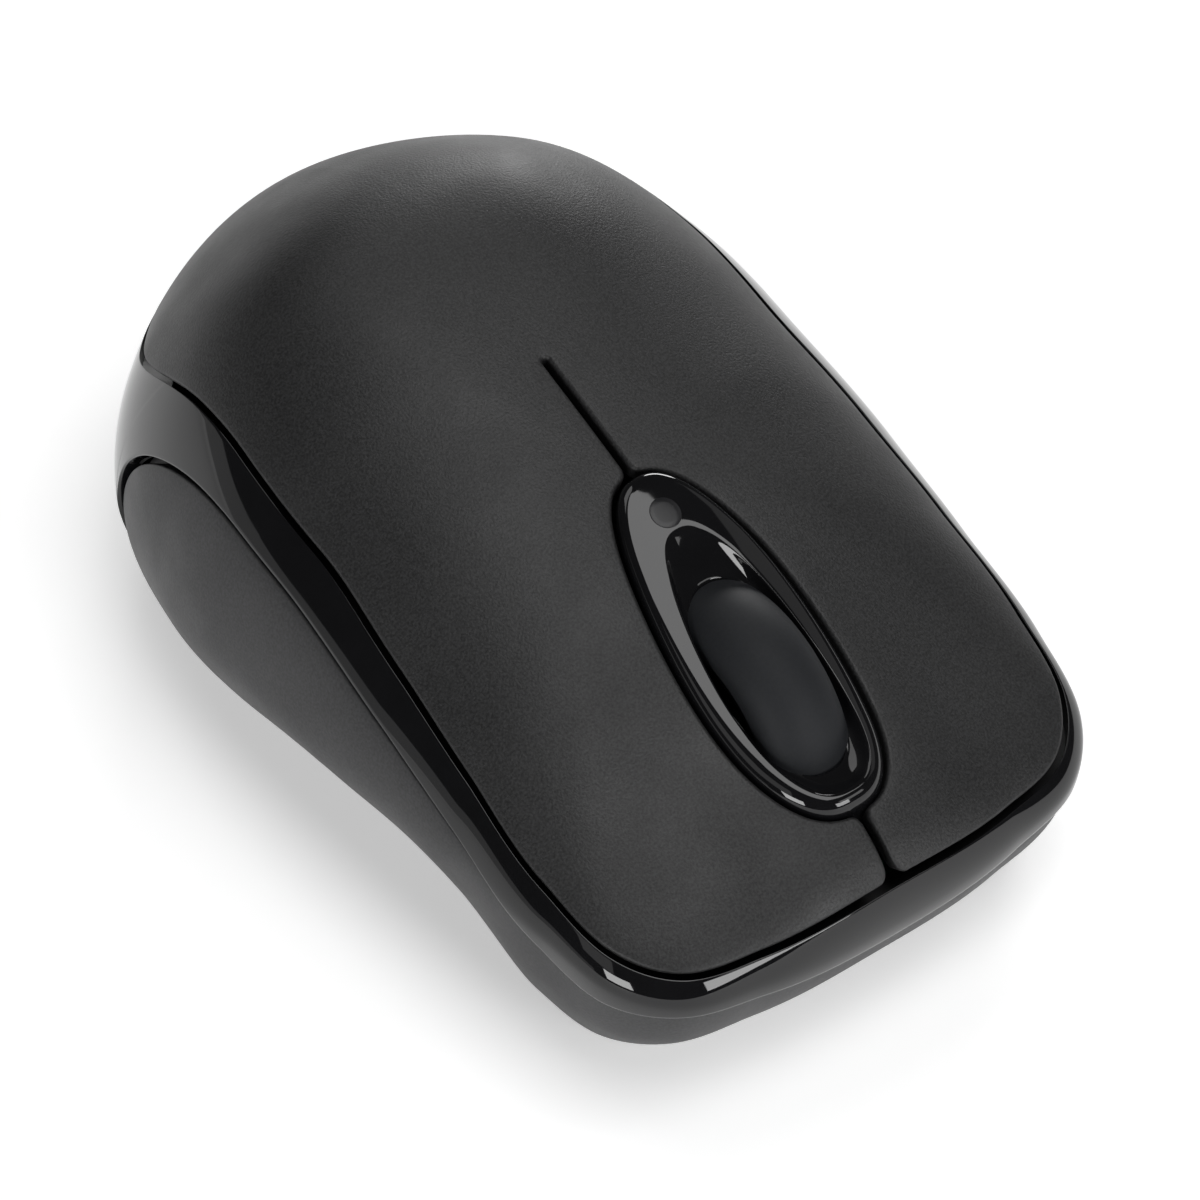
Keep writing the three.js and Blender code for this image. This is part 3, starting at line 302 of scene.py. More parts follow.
def rounded_box(low, high, radius, grow=0, steps=7):
    """A rounded rectangle in plan, anticlockwise."""
    r = radius + grow
    corners = [(high[0], low[1], 1, -1, -90), (high[0], high[1], 1, 1, 0),
               (low[0], high[1], -1, 1, 90), (low[0], low[1], -1, -1, 180)]
    points = []
    for x, y, side, end, start in corners:
        centre = Vector((x - side * radius, y - end * radius))
        for i in range(steps + 1):
            turn = math.radians(start + 90 * i / steps)
            points.append(centre + r * Vector((math.cos(turn), math.sin(turn))))
    return points


def turns_round(steps):
    return [2 * math.pi * i / steps for i in range(steps)]


def quarter_turns(steps):
    return [math.radians(90 * i / steps) for i in range(steps + 1)]


def circle(x, y, radius, steps=40):
    return [Vector((x + radius * math.cos(t), y + radius * math.sin(t)))
            for t in turns_round(steps)]


def quadratic(a, corner, b, steps):
    """Points of a curve from a to b that turns round a corner."""
    shares = [i / steps for i in range(steps + 1)]
    return [a * (1 - s) ** 2 + corner * 2 * s * (1 - s) + b * s * s for s in shares]


def walk(chain, index, step, distance):
    """Where a walk along the chain from a corner gets to, as (point, index past it)."""
    left = distance
    while (chain[index + step] - chain[index]).length < left:
        left -= (chain[index + step] - chain[index]).length
        index += step
    direction = (chain[index + step] - chain[index]).normalized()
    return chain[index] + direction * left, index + step


def soften(chain, corner, radius, steps=8):
    """The chain with one corner rounded."""
    before, last = walk(chain, corner, -1, radius)
    after, first = walk(chain, corner, 1, radius)
    return [*chain[: last + 1], *quadratic(before, chain[corner], after, steps), *chain[first:]]


# ---- Meshes ------------------------------------------------------------------------------------
def inside(points, loops):
    """Which points lie inside the loops, counting holes."""
    x, y = points[:, 0], points[:, 1]
    found = np.zeros(len(points), bool)
    for loop in loops:
        for a, b in zip(loop, [*loop[1:], loop[0]]):
            crosses = (a[1] > y) != (b[1] > y)
            rise = b[1] - a[1] if b[1] != a[1] else 1
            found ^= crosses & (x < (b[0] - a[0]) * (y - a[1]) / rise + a[0])
    return found


def fill(loops, spacing):
    """Triangles over a plan region: its loops' points come first, then a staggered grid."""
    points = [p for loop in loops for p in loop]
    edges = []
    for loop in loops:
        first = len(edges)
        edges += [(first + i, first + (i + 1) % len(loop)) for i in range(len(loop))]
    tree = KDTree(len(points))
    for i, p in enumerate(points):
        tree.insert((p[0], p[1], 0), i)
    tree.balance()
    low = np.min([tuple(p) for p in points], axis=0)
    high = np.max([tuple(p) for p in points], axis=0)
    row_step = spacing * math.sqrt(3) / 2
    rows = np.arange(low[1] + row_step / 2, high[1], row_step)
    grid = np.array([(x + (row % 2) * spacing / 2, y) for row, y in enumerate(rows)
                     for x in np.arange(low[0] + spacing / 4, high[0], spacing)])
    if len(grid):
        kept = [p for p in grid[inside(grid, loops)]
                if tree.find((p[0], p[1], 0))[2] > spacing * 0.6]
        points = points + [Vector(p) for p in kept]
    verts, _, faces, sources, *_ = delaunay_2d_cdt([Vector(p) for p in points], edges, [], 0, 1e-7)
    centres = np.array([sum((verts[i] for i in f), Vector((0, 0))) / 3 for f in faces])
    kept = inside(centres, loops)
    return points, [tuple(sources[i][0] for i in f) for f, keep in zip(faces, kept) if keep]


class Shape:
    """Points in millimetres and the faces between them."""

    def __init__(self):
        self.points = []
        self.faces = []

    def add(self, points):
        first = len(self.points)
        self.points += [Vector(p) for p in points]
        return list(range(first, len(self.points)))

    def strip(self, a, b, closed=True):
        """Faces between two rows of the same length."""
        count = len(a) if closed else len(a) - 1
        for i in range(count):
            j = (i + 1) % len(a)
            self.faces.append((a[i], a[j], b[j], b[i]))

    def loft(self, rows, closed=True):
        """Adds rows of points, with faces from each to the next."""
        added = [self.add(row) for row in rows]
        for a, b in zip(added, added[1:]):
            self.strip(a, b, closed)
        return added

    def cap(self, row):
        """One face over a whole row."""
        self.faces.append(tuple(row))

    def patch(self, loops, height, spacing, flip=False):
        """A flat filled region at a height. Its points merge with the walls it meets."""
        points, faces = fill(loops, spacing)
        first = self.add([(p[0], p[1], height) for p in points])[0]
        self.faces += [tuple(first + i for i in (reversed(f) if flip else f)) for f in faces]

    def mirrored(self):
        """The same shape on the other side of the middle plane."""
        other = Shape()
        other.points = [Vector((-p.x, p.y, p.z)) for p in self.points]
        other.faces = [tuple(reversed(f)) for f in self.faces]
        return other


def make(name, shape, material, body, replaced=(), sharp=38):
    """A piece from a shape: merged, faces outward, smooth except at sharp edges."""
    mesh = bpy.data.meshes.new(name)
    mesh.from_pydata([p * MM for p in shape.points], [], shape.faces)
    obj = bpy.data.objects.new(name, mesh)
    bpy.context.scene.collection.objects.link(obj)
    tidy(mesh)
    mesh.polygons.foreach_set("use_smooth", [True] * len(mesh.polygons))
    mesh.set_sharp_from_angle(angle=math.radians(sharp))
    mesh.materials.append(material)
    if body:
        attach(obj, body)
    if replaced:
        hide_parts(*replaced)
    return obj


def tidy(mesh):
    """Merges points that meet and turns every face outward."""
    bm = bmesh.new()
    bm.from_mesh(mesh)
    bmesh.ops.remove_doubles(bm, verts=bm.verts, dist=2e-6)
    bmesh.ops.dissolve_degenerate(bm, edges=bm.edges, dist=1e-7)
    bmesh.ops.recalc_face_normals(bm, faces=bm.faces)
    bm.to_mesh(mesh)
    bm.free()


def box_mm(node):
    """The low and high corners of a CAD node's box."""
    low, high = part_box(node)
    return low / MM, high / MM


def joint(name):
    return next(j for j in frame["joints"] if j["name"] == name)


# ---- Materials ---------------------------------------------------------------------------------
class Nodes:
    """A material's node tree, made a node at a time."""

    def __init__(self, name):
        self.material = bpy.data.materials.new(name)
        self.material.use_nodes = True
        self.tree = self.material.node_tree
        self.tree.nodes.clear()
        output = self.add("ShaderNodeOutputMaterial")
        self.shader = self.add("ShaderNodeBsdfPrincipled")
        self.link(self.shader, "BSDF", output, "Surface")
        self.place = self.add("ShaderNodeTexCoord")

    def add(self, kind, **settings):
        node = self.tree.nodes.new(kind)
        for key, value in settings.items():
            setattr(node, key, value)
        return node

    def link(self, source, output, target, socket):
        self.tree.links.new(source.outputs[output], target.inputs[socket])

    def noise(self, size, detail=3, roughness=0.55):
        """Noise with features of about this size, in millimetres."""
        node = self.add("ShaderNodeTexNoise")
        node.inputs["Scale"].default_value = 1 / (size * MM)
        node.inputs["Detail"].default_value = detail
        node.inputs["Roughness"].default_value = roughness
        self.link(self.place, "Object", node, "Vector")
        return node

    def ranged(self, source, output, low, high, from_low=0.3, from_high=0.7):
        node = self.add("ShaderNodeMapRange")
        self.link(source, output, node, "Value")
        node.inputs["From Min"].default_value = from_low
        node.inputs["From Max"].default_value = from_high
        node.inputs["To Min"].default_value = low
        node.inputs["To Max"].default_value = high
        return node

    def blend(self, source, output, first, second):
        """A colour between two, by a value."""
        node = self.add("ShaderNodeMixRGB")
        self.link(source, output, node, "Fac")
        node.inputs["Color1"].default_value = (*first, 1)
        node.inputs["Color2"].default_value = (*second, 1)
        return node

    def bump(self, source, output, height, before=None):
        """A bump of this height in millimetres, over an earlier one if there is one."""
        node = self.add("ShaderNodeBump")
        node.inputs["Distance"].default_value = height * MM
        self.link(source, output, node, "Height")
        if before:
            self.link(before, "Normal", node, "Normal")
        return node

    def set(self, **values):
        for key, value in values.items():
            self.shader.inputs[key.replace("_", " ")].default_value = value


def moulded(name, colour, roughness, grain, height, spread=0.06, tint=1.15, **extra):
    """Moulded plastic: a fine grain, with roughness and colour that wander a little."""
    n = Nodes(name)
    wander = n.noise(9, detail=4)
    rough = n.ranged(wander, "Fac", roughness - spread, roughness + spread)
    n.link(rough, "Result", n.shader, "Roughness")
    pebbles = n.noise(grain, detail=1)
    shade = n.ranged(pebbles, "Fac", 0, 1)
    lighter = tuple(min(1, c * tint) for c in colour)
    n.link(n.blend(shade, "Result", colour, lighter), "Color", n.shader, "Base Color")
    n.link(n.bump(pebbles, "Fac", height), "Normal", n.shader, "Normal")
    n.set(**extra)
    return n.material


def glossy(name, colour, roughness=0.04, **extra):
    """Polished plastic: a slow ripple from moulding and faint hazing."""
    n = Nodes(name)
    haze = n.ranged(n.noise(6, detail=6), "Fac", roughness * 0.7, roughness * 1.6)
    n.link(haze, "Result", n.shader, "Roughness")
    shade = n.ranged(n.noise(4, detail=4), "Fac", 0, 1)
    lighter = tuple(c * 1.3 for c in colour)
    n.link(n.blend(shade, "Result", colour, lighter), "Color", n.shader, "Base Color")
    ripple = n.bump(n.noise(5, detail=1), "Fac", 0.002)
    n.link(ripple, "Normal", n.shader, "Normal")
    n.set(**extra)
    return n.material


def metal(name, colour, roughness=0.28, brushed=(1, 1, 12)):
    """Plated metal with fine drawing marks along one direction."""
    n = Nodes(name)
    stretch = n.add("ShaderNodeMapping")
    stretch.inputs["Scale"].default_value = brushed
    n.link(n.place, "Object", stretch, "Vector")
    marks = n.noise(0.9, detail=2)
    n.link(stretch, "Vector", marks, "Vector")
    rough = n.ranged(marks, "Fac", roughness * 0.8, roughness * 1.3)
    n.link(rough, "Result", n.shader, "Roughness")
    shade = n.ranged(n.noise(3), "Fac", 0, 1)
    darker = tuple(c * 0.85 for c in colour)
    n.link(n.blend(shade, "Result", colour, darker), "Color", n.shader, "Base Color")
    n.link(n.bump(marks, "Fac", 0.0008), "Normal", n.shader, "Normal")
    n.set(Metallic=1)
    return n.material


def clear(name, colour):
    """Clear plastic with a faint haze."""
    n = Nodes(name)
    haze = n.ranged(n.noise(3, detail=4), "Fac", 0.03, 0.12)
    n.link(haze, "Result", n.shader, "Roughness")
    n.link(n.bump(n.noise(2), "Fac", 0.002), "Normal", n.shader, "Normal")
    n.set(Base_Color=(*colour, 1), Transmission_Weight=0.85, IOR=1.5)
    return n.material


def board_mask(name, colour):
    """Solder mask with faint tracks under it."""
    n = Nodes(name)
    tracks = n.add("ShaderNodeTexWave", wave_type="BANDS", bands_direction="DIAGONAL")
    tracks.inputs["Scale"].default_value = 260
    tracks.inputs["Distortion"].default_value = 1.5
    n.link(n.place, "Object", tracks, "Vector")
    lines = n.ranged(tracks, "Fac", 0, 1, 0.75, 0.85)
    lighter = tuple(c * 1.7 for c in colour)
    n.link(n.blend(lines, "Result", colour, lighter), "Color", n.shader, "Base Color")
    rough = n.ranged(n.noise(2, detail=4), "Fac", 0.28, 0.42)
    n.link(rough, "Result", n.shader, "Roughness")
    n.link(n.bump(lines, "Result", 0.02), "Normal", n.shader, "Normal")
    return n.material


MATERIALS = {
    "matte_black": moulded("cover_plastic", (0.0068, 0.0068, 0.007), 0.5, 0.22, 0.035, tint=3.6,
                            Specular_IOR_Level=0.45),
    "gloss_black": glossy("gloss_plastic", (0.004, 0.004, 0.0045)),
    "case_grey": moulded("case_plastic", (0.027, 0.027, 0.028), 0.5, 0.25, 0.015, tint=1.6,
                          Specular_IOR_Level=0.32),
    "tyre_rubber": moulded("tyre_rubber", (0.014, 0.015, 0.017), 0.6, 0.3, 0.004, spread=0.04,
                           Specular_IOR_Level=0.22),
    "smoked_window": glossy("smoked_window", (0.012, 0.012, 0.013), 0.2, Specular_IOR_Level=0.3),
    "foot_grey": moulded("foot_pad", (0.11, 0.11, 0.115), 0.35, 0.5, 0.008),
    "inner_black": moulded("inner_plastic", (0.015, 0.015, 0.016), 0.45, 0.5, 0.01),
    "board_green": board_mask("board_mask", (0.012, 0.11, 0.045)),
    "bright_steel": metal("plated_steel", (0.62, 0.63, 0.65)),
    "clear_plastic": clear("clear_plastic", (0.88, 0.93, 0.97)),
    "white_plastic": moulded("white_acetal", (0.72, 0.72, 0.69), 0.38, 0.6, 0.01, tint=1.04),
    "sleeve_blue": glossy("cell_sleeve", (0.03, 0.1, 0.25), 0.18),
}

# ---- The cover: palm rest and both buttons -----------------------------------------------------
# The cover is filled in a round chart of the skin, CHART wide per unit of girth, so that its
# triangles stay even where the cover turns down steeply.
CHART = 50


def chart(angle, girth):
    return Vector((math.cos(angle), math.sin(angle))) * girth * CHART


def from_chart(p):
    return math.atan2(p[1], p[0]), math.hypot(p[0], p[1]) / CHART


def slot_half(y):
    """Half the width of the slot between the buttons, a little wider at the front."""
    share = smooth(BEZEL_EDGE["front"] - 4, SLOT_FRONT_Y, y)
    return lerp(SLOT_HALF_REAR, SLOT_HALF_FRONT, share)


def cover_edge():
    """The edge of the right half, anticlockwise in plan from the rear middle to the slot's end."""
    steps = 230
    ring = []
    for i in range(steps + 1):
        angle = math.radians(-90 + 180 * i / steps)
        p = skin(angle, seam_girth(angle, SEAM_GAP))
        if i < steps / 2 or p.x > SLOT_HALF_FRONT + 0.05:
            ring.append(Vector((max(0, p.x), p.y)))
    front_y = ring[-1].y
    front_corner = Vector((SLOT_HALF_FRONT, front_y))
    turns = [math.pi * (1 - i / 110) for i in range(111)]
    hole = [egg(BEZEL_EDGE, t) for t in turns]
    hole = [p for p in hole if p.x > slot_half(p.y)]
    front_slot = np.arange(front_y - 0.5, hole[0].y + 0.2, -0.5)
    rear_slot = np.arange(hole[-1].y - 0.3, SLOT_REAR_Y + SLOT_HALF_REAR + 0.3, -0.6)
    chain = [*ring, front_corner, *[Vector((slot_half(y), y)) for y in front_slot]]
    corners = [len(ring), len(chain)]
    chain += [Vector((slot_half(hole[0].y), hole[0].y)), *hole]
    corners.append(len(chain))
    chain += [Vector((slot_half(hole[-1].y), hole[-1].y - 0.05))]
    chain += [Vector((slot_half(y), y)) for y in rear_slot]
    for corner in reversed(corners):
        chain = soften(chain, corner, COVER_CORNER)
    end = Vector((0, SLOT_REAR_Y + SLOT_HALF_REAR))
    return [*chain, *[end + SLOT_HALF_REAR * Vector((math.cos(t), -math.sin(t)))
                      for t in quarter_turns(6)]]


def edge_frames(edge):
    """(point, normal, way into the cover) at each point of the edge."""
    places = [plan_place(p.x, p.y) for p in edge]
    points = [skin(*place) for place in places]
    frames = []
    last = len(points) - 1
    for i, (point, place) in enumerate(zip(points, places)):
        along = (points[min(i + 1, last)] - points[max(i - 1, 0)]).normalized()
        normal = skin_normal(*place)
        inward = normal.cross(along).normalized()
        if i in (0, last):
            normal = Vector((0, normal.y, normal.z)).normalized()
            inward = Vector((0, inward.y, inward.z)).normalized()
        frames.append((point, normal, inward))
    return frames


def cover_half():
    """The right half of the cover, as a closed shell. The middle plane joins it to the left."""
    frames = edge_frames(cover_edge())
    half = Shape()
    rows = [[p - n * COVER_WALL for p, n, _ in frames]]
    for t in quarter_turns(5)[:-1]:
        rows.append([p + m * COVER_EDGE * (1 - math.cos(t)) - n * COVER_EDGE * (1 - math.sin(t))
                     for p, n, m in frames])
    rim = [chart(*plan_place(*(p + m * COVER_EDGE).xy)) for p, _, m in frames]
    line = [Vector((0, y)) for y in np.arange(rim[-1].y - 0.5, rim[0].y + 0.3, -0.8)]
    points, faces = fill([[*rim, *line]], COVER_SPACING)
    places = [from_chart(p) for p in points]
    top = [skin(*place) for place in places]
    under = [p - skin_normal(*place) * COVER_WALL for p, place in zip(top, places)]
    count = len(rim)
    middle = range(count, count + len(line))
    for i in [0, count - 1, *middle]:
        top[i].x = 0
        under[i].x = 0
    added = half.loft(rows, closed=False)
    top_row = half.add(top)
    under_row = half.add(under)
    half.strip(added[-1], top_row[:count], closed=False)
    half.strip(under_row[:count], added[0], closed=False)
    half.faces += [tuple(top_row[i] for i in f) for f in faces]
    half.faces += [tuple(under_row[i] for i in reversed(f)) for f in faces]
    front_end = [*[row[-1] for row in added], top_row[count - 1]]
    rear_end = [*[row[0] for row in added], top_row[0]]
    top_line = [top_row[i] for i in middle]
    under_line = [under_row[i] for i in middle]
    wall = [*front_end, *top_line, *reversed(rear_end), under_row[0], *reversed(under_line),
            under_row[count - 1]]
    half.faces.append(tuple(wall))
    return half


def add_cover():
    """Two halves that meet behind the slot."""
    right = cover_half()
    for name, shape, body, nodes in (
        ("cover_right", right, "right_button", ("right_button", "top_shell")),
        ("cover_left", right.mirrored(), "left_button", ("left_button",)),
    ):
        piece = make(name, shape, MATERIALS["matte_black"], None, nodes)
        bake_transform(piece)


# ---- The trim band and the lower case ----------------------------------------------------------
def spaced(curve, start, end, count):
    """Points evenly spaced along a curve of one share, between distances from its two ends."""
    samples = [curve(i / 40) for i in range(41)]
    reached = [0]
    for a, b in zip(samples, samples[1:]):
        reached.append(reached[-1] + (b - a).length)
    wanted = np.linspace(start, reached[-1] - end, count)
    return [curve(share) for share in np.interp(wanted, reached, np.linspace(0, 1, 41))]


def band_section(angle):
    """The band's section at one direction: ledge, groove wall, lip, face, lower edge, inside."""
    top = seam_girth(angle)
    edge = girth_at_height(angle, band_edge_height(angle))
    seam = skin(angle, top)
    face = spaced(lambda share: skin(angle, lerp(top, edge, share)), BAND_LIP, BAND_EDGE, 26)
    down = Vector((0, 0, -1))
    lip = quadratic(seam + down * BAND_LIP, seam, face[0], 8)[:-1]
    foot = skin(angle, edge)
    inside_foot = behind(angle, edge, BAND_EDGE)
    lower_edge = quadratic(face[-1], foot, inside_foot, 4)[1:]
    inside_top = max(seam.z - LEDGE_DEPTH - BAND_INSIDE_DROP, band_edge_height(angle) + 0.2)
    inside_girth = girth_at_height(angle, inside_top)
    inner = [behind(angle, lerp(edge, inside_girth, s), BAND_WALL) for s in (0, 0.35, 0.7, 1)]
    return [seam + down * (LEDGE_DEPTH + 0.5), *lip, *face, *lower_edge, *inner]


def add_band():
    band = Shape()
    rows = list(zip(*[band_section(angle) for angle in RING]))
    added = band.loft(rows)
    band.strip(added[-1], added[0])
    make("gloss_band", band, MATERIALS["gloss_black"], "case", ("trim_band",))


def add_shelf():
    """The matte shelf that closes the bottom of the groove round the cover."""
    shelf = Shape()
    under = -LEDGE_THICKNESS
    corners = ((-0.05, 0), (-0.05, under), (LEDGE_WIDTH, under), (LEDGE_WIDTH, 0))
    rows = [[] for _ in corners]
    for angle in RING:
        edge = skin(angle, seam_girth(angle)) - Vector((0, 0, LEDGE_DEPTH))
        radial = Vector((math.cos(angle), math.sin(angle), 0))
        for row, (inward, up) in zip(rows, corners):
            row.append(edge - radial * inward + Vector((0, 0, up)))
    added = shelf.loft(rows)
    shelf.strip(added[-1], added[0])
    make("groove_shelf", shelf, MATERIALS["inner_black"], "case")


def case_edge_girth(angle):
    """The girth of the case's upper edge, a gap below the band."""
    return girth_at_height(angle, band_edge_height(angle, CASE_EARLIER) - PANEL_GAP)


def case_face(angle):
    """The case's outer face from the step under the band down to the bottom's edge."""
    top = case_edge_girth(angle)

    def face(share):
        set_back = lerp(CASE_SET_BACK, 0.02, smooth(0, 0.6, share))
        return behind(angle, lerp(top, 2, share), set_back)

    rows = spaced(face, CASE_EDGE, BOTTOM_EDGE, 24)
    inward = Vector((-math.cos(angle), -math.sin(angle), 0))
    footprint = Vector((*skin(angle, 2).xy, BASE_Z))
    step = face(0) - skin_normal(angle, top) * CASE_EDGE
    return [*quadratic(step, face(0), rows[0], 4)[:-1], *rows,
            *quadratic(rows[-1], footprint, footprint + inward * BOTTOM_EDGE, 6)[1:]]


def case_inside(angle):
    """From the floor up the inside of the wall and over the tongue behind the band."""
    inside_depth = TONGUE_DEPTH + TONGUE_WALL
    edge = case_edge_girth(angle)
    edge_z = skin(angle, edge).z
    room = skin(angle, seam_girth(angle)).z - LEDGE_DEPTH - TONGUE_ROOM
    tongue = girth_at_height(angle, max(edge_z + 0.3, min(edge_z + TONGUE_RISE, room)))
    floor_girth = girth_at_height(angle, min(FLOOR_TOP, edge_z - 0.05))
    wall = [behind(angle, lerp(floor_girth, edge, s), inside_depth) for s in (0, 0.3, 0.65, 1)]
    wall[0].z = FLOOR_TOP
    wall = [Vector((p.x, p.y, max(p.z, FLOOR_TOP))) for p in wall]
    return [*wall, behind(angle, tongue, inside_depth), behind(angle, tongue, TONGUE_DEPTH),
            behind(angle, edge, TONGUE_DEPTH)]


def sink(shape, outline, face_z, top_z, edge, blind):
    """A hole's rounded edge and wall, up from a face that looks down. Returns its loop there."""
    rows = [[(*p, face_z + edge * (1 - math.cos(t))) for p in outline(edge * (1 - math.sin(t)))]
            for t in quarter_turns(4)]
    rows.append([(*p, top_z) for p in outline(0)])
    shape.loft(rows)
    if blind:
        shape.patch([outline(0)], top_z, 1.5)
    return outline(edge)


def slab(shape, outline, low, high, edge, holes=(), spacing=2.0):
    """A flat piece with a rounded lower edge, and holes of (outline, depth, edge) in its face."""
    loops = [outline(-edge)]
    rows = [[(*p, low + edge * (1 - math.cos(t))) for p in outline(-edge * (1 - math.sin(t)))]
            for t in quarter_turns(4)]
    rows.append([(*p, high) for p in outline(0)])
    shape.loft(rows)
    shape.patch([outline(0)], high, spacing)
    for hole, depth, hole_edge in holes:
        loops.append(sink(shape, hole, low, low + depth, hole_edge, True))
    shape.patch(loops, low, spacing, flip=True)


def boxed(node, radius, grow=0):
    """The outline, as a function of growth, of a node's box in plan."""
    low, high = box_mm(node)
    return lambda more: rounded_box(low, high, radius, grow + more)


def ring_hole(x, y, radius):
    """The outline, as a function of growth, of a round hole."""
    return lambda more: circle(x, y, radius + more)


def block(centre, half):
    """The outline, as a function of growth, of a small block of the slider."""
    return lambda more: rounded_box(centre - half, centre + half, 0.2, more, 4)


def groove(x, y, grip):
    """The outline, as a function of growth, of one groove of a grip."""
    low = Vector((x - grip["half_length"], y - grip["half_width"]))
    high = Vector((x + grip["half_length"], y + grip["half_width"]))
    return lambda more: rounded_box(low, high, grip["half_width"] - 0.01, more, 4)


FEET = ("front_foot", "rear_left_foot", "rear_right_foot")


def foot_radius(foot):
    """The radius of a foot's round ends, just under half its width."""
    low, high = box_mm(foot)
    return min(high.x - low.x, high.y - low.y) / 2 - 0.01


def door_outline(gap=0):
    """The door's outline, which stops at its hinge."""
    low, high = box_mm("battery_door")
    front = joint("battery_door_swing")["pos_m"][1] / MM
    return lambda more: rounded_box(low, (high.x, front), DOOR_CORNER, gap + more)


def slider_outline():
    """The outline of the slider's window, long enough for its travel."""
    low, high = box_mm("power_switch_slider")
    travel = joint("power_switch_travel")["range_m"][1] / MM
    window_low = Vector((low.x - PANEL_GAP, low.y - PANEL_GAP))
    window_high = Vector((high.x + PANEL_GAP, high.y + travel + PANEL_GAP))
    return lambda more: rounded_box(window_low, window_high, 0.5, more)


def add_case():
    case = Shape()
    faces = case.loft(list(zip(*[case_face(angle) for angle in RING])))
    inner = case.loft(list(zip(*[case_inside(angle) for angle in RING])))
    case.strip(inner[-1], faces[0])
    bottom = [case.points[i].xy for i in faces[-1]]
    floor = [case.points[i].xy for i in inner[0]]
    sensor = sum(box_mm("sensor_lens"), Vector()) / 2
    through_holes = [
        (door_outline(DOOR_GAP), 0.25),
        (boxed("receiver_cap", CAP_CORNER, PANEL_GAP), 0.35),
        (slider_outline(), 0.3),
        (ring_hole(sensor.x, sensor.y, SENSOR_HOLE_RADIUS), 0.7),
    ]
    loops = [sink(case, outline, BASE_Z, FLOOR_TOP, edge, False) for outline, edge in through_holes]
    for foot in FEET:
        recess = boxed(foot, foot_radius(foot), PANEL_GAP)
        loops.append(sink(case, recess, BASE_Z, FOOT_RECESS_Z, 0.15, True))
    case.patch([bottom, *loops], BASE_Z, 2.2, flip=True)
    case.patch([floor, *[outline(0) for outline, _ in through_holes]], FLOOR_TOP, 3)
    make("lower_case", case, MATERIALS["case_grey"], "case", ("base_shell",))


def cup(name, outer, inner, inner_top):
    """An open-bottomed housing on the floor: the battery's bay and the receiver's pocket."""
    shape = Shape()
    start = FLOOR_TOP - 0.4
    top = inner_top + HOUSING_WALL
    outside = [[(*p, start) for p in outer(0)]]
    outside += [[(*p, top - HOUSING_EDGE * (1 - math.sin(t)))
                 for p in outer(-HOUSING_EDGE * (1 - math.cos(t)))]
                for t in quarter_turns(4)]
    inside_rows = [[(*p, z) for p in inner(0)] for z in (start, inner_top)]
    rows_out = shape.loft(outside)
    rows_in = shape.loft(inside_rows)
    shape.strip(rows_out[0], rows_in[0])
    shape.cap(rows_out[-1])
    shape.cap(rows_in[-1])
    make(name, shape, MATERIALS["case_grey"], "case")


def add_battery_bay():
    """The battery's bay: close behind the cell, with a little more room in front of it."""
    cell_low, cell_high = box_mm("battery_cell")
    half = cell_high.x + BAY_MARGIN
    low = Vector((-half, cell_low.y - 0.15))
    high = Vector((half, cell_high.y + 1.1))
    outer_low = low - Vector((HOUSING_WALL, 0.4))
    outer_high = high + Vector((HOUSING_WALL, 1))
    cup("battery_bay", lambda more: rounded_box(outer_low, outer_high, 3, more),
        lambda more: rounded_box(low, high, 2, more), cell_high.z + PANEL_GAP)


def add_receiver_pocket():
    """The pocket that the receiver is pushed up into."""
    low, high = box_mm("receiver_cap")
    wall = Vector((1.5, 1.5, 0))
    plug_top = box_mm("receiver_plug")[1].z
    cup("receiver_pocket", lambda more: rounded_box(low - wall, high + wall, 2, more),
        boxed("receiver_cap", CAP_CORNER, PANEL_GAP), plug_top + PANEL_GAP)


# ---- The bezel, its lens and the wheel ---------------------------------------------------------
def raised(plan, height):
    """A point of the plan, at a height over the body's own surface."""
    return Vector((*plan, crown_over(*plan) + height))


def on_bezel(plan, height=0):
    """A point over the bezel's top, which bows down to both sides."""
    return raised(plan, BEZEL_RISE - BEZEL_BOW * plan[0] ** 2 + height)


def bezel_section(t):
    """From the outer edge over the ring to the crest, down the scoop and into the window."""
    edge = egg(BEZEL_EDGE, t, -BEZEL_GAP)
    crest = egg(BEZEL_CREST, t)
    window = egg(WHEEL_WINDOW, t)
    across = (crest - edge).length
    flank = min(BEZEL_FLANK_WIDTH, across * 0.8)
    crest_share = min(0.45, BEZEL_CREST_EDGE / across)
    scoop = (window - crest).length
    scoop_share = min(0.5, (BEZEL_CREST_EDGE + 0.1 * scoop) / scoop)

    def ring(share):
        rise = math.sqrt(1 - (1 - min(1, share * across / flank)) ** 2)
        return on_bezel(lerp(edge, crest, share), lerp(-BEZEL_FLANK, 0, rise))

    def dish(share):
        return on_bezel(lerp(crest, window, share), lerp(0, -SCOOP_DEPTH, 1 - (1 - share) ** 1.7))

    flank_shares = [(1 - math.cos(t)) * flank / across for t in quarter_turns(10)[:-1]]
    top_shares = [lerp(flank / across, 1 - crest_share, i / 6) for i in range(7)]
    if top_shares[-1] < top_shares[0]:
        top_shares = [lerp(flank_shares[-1], 1 - crest_share, (i + 1) / 7) for i in range(7)]
    crest_curve = quadratic(ring(1 - crest_share), ring(1), dish(scoop_share), 6)[1:]
    scoop_points = [dish(lerp(scoop_share, 0.96, (i + 1) / 12)) for i in range(12)]
    wall = [raised(window, -0.62), raised(window, -2.4)]
    foot = [raised(window, -BEZEL_DEPTH), raised(edge, -BEZEL_DEPTH)]
    return [*[ring(s) for s in flank_shares], *[ring(s) for s in top_shares],
            *crest_curve, *scoop_points, *wall, *foot]


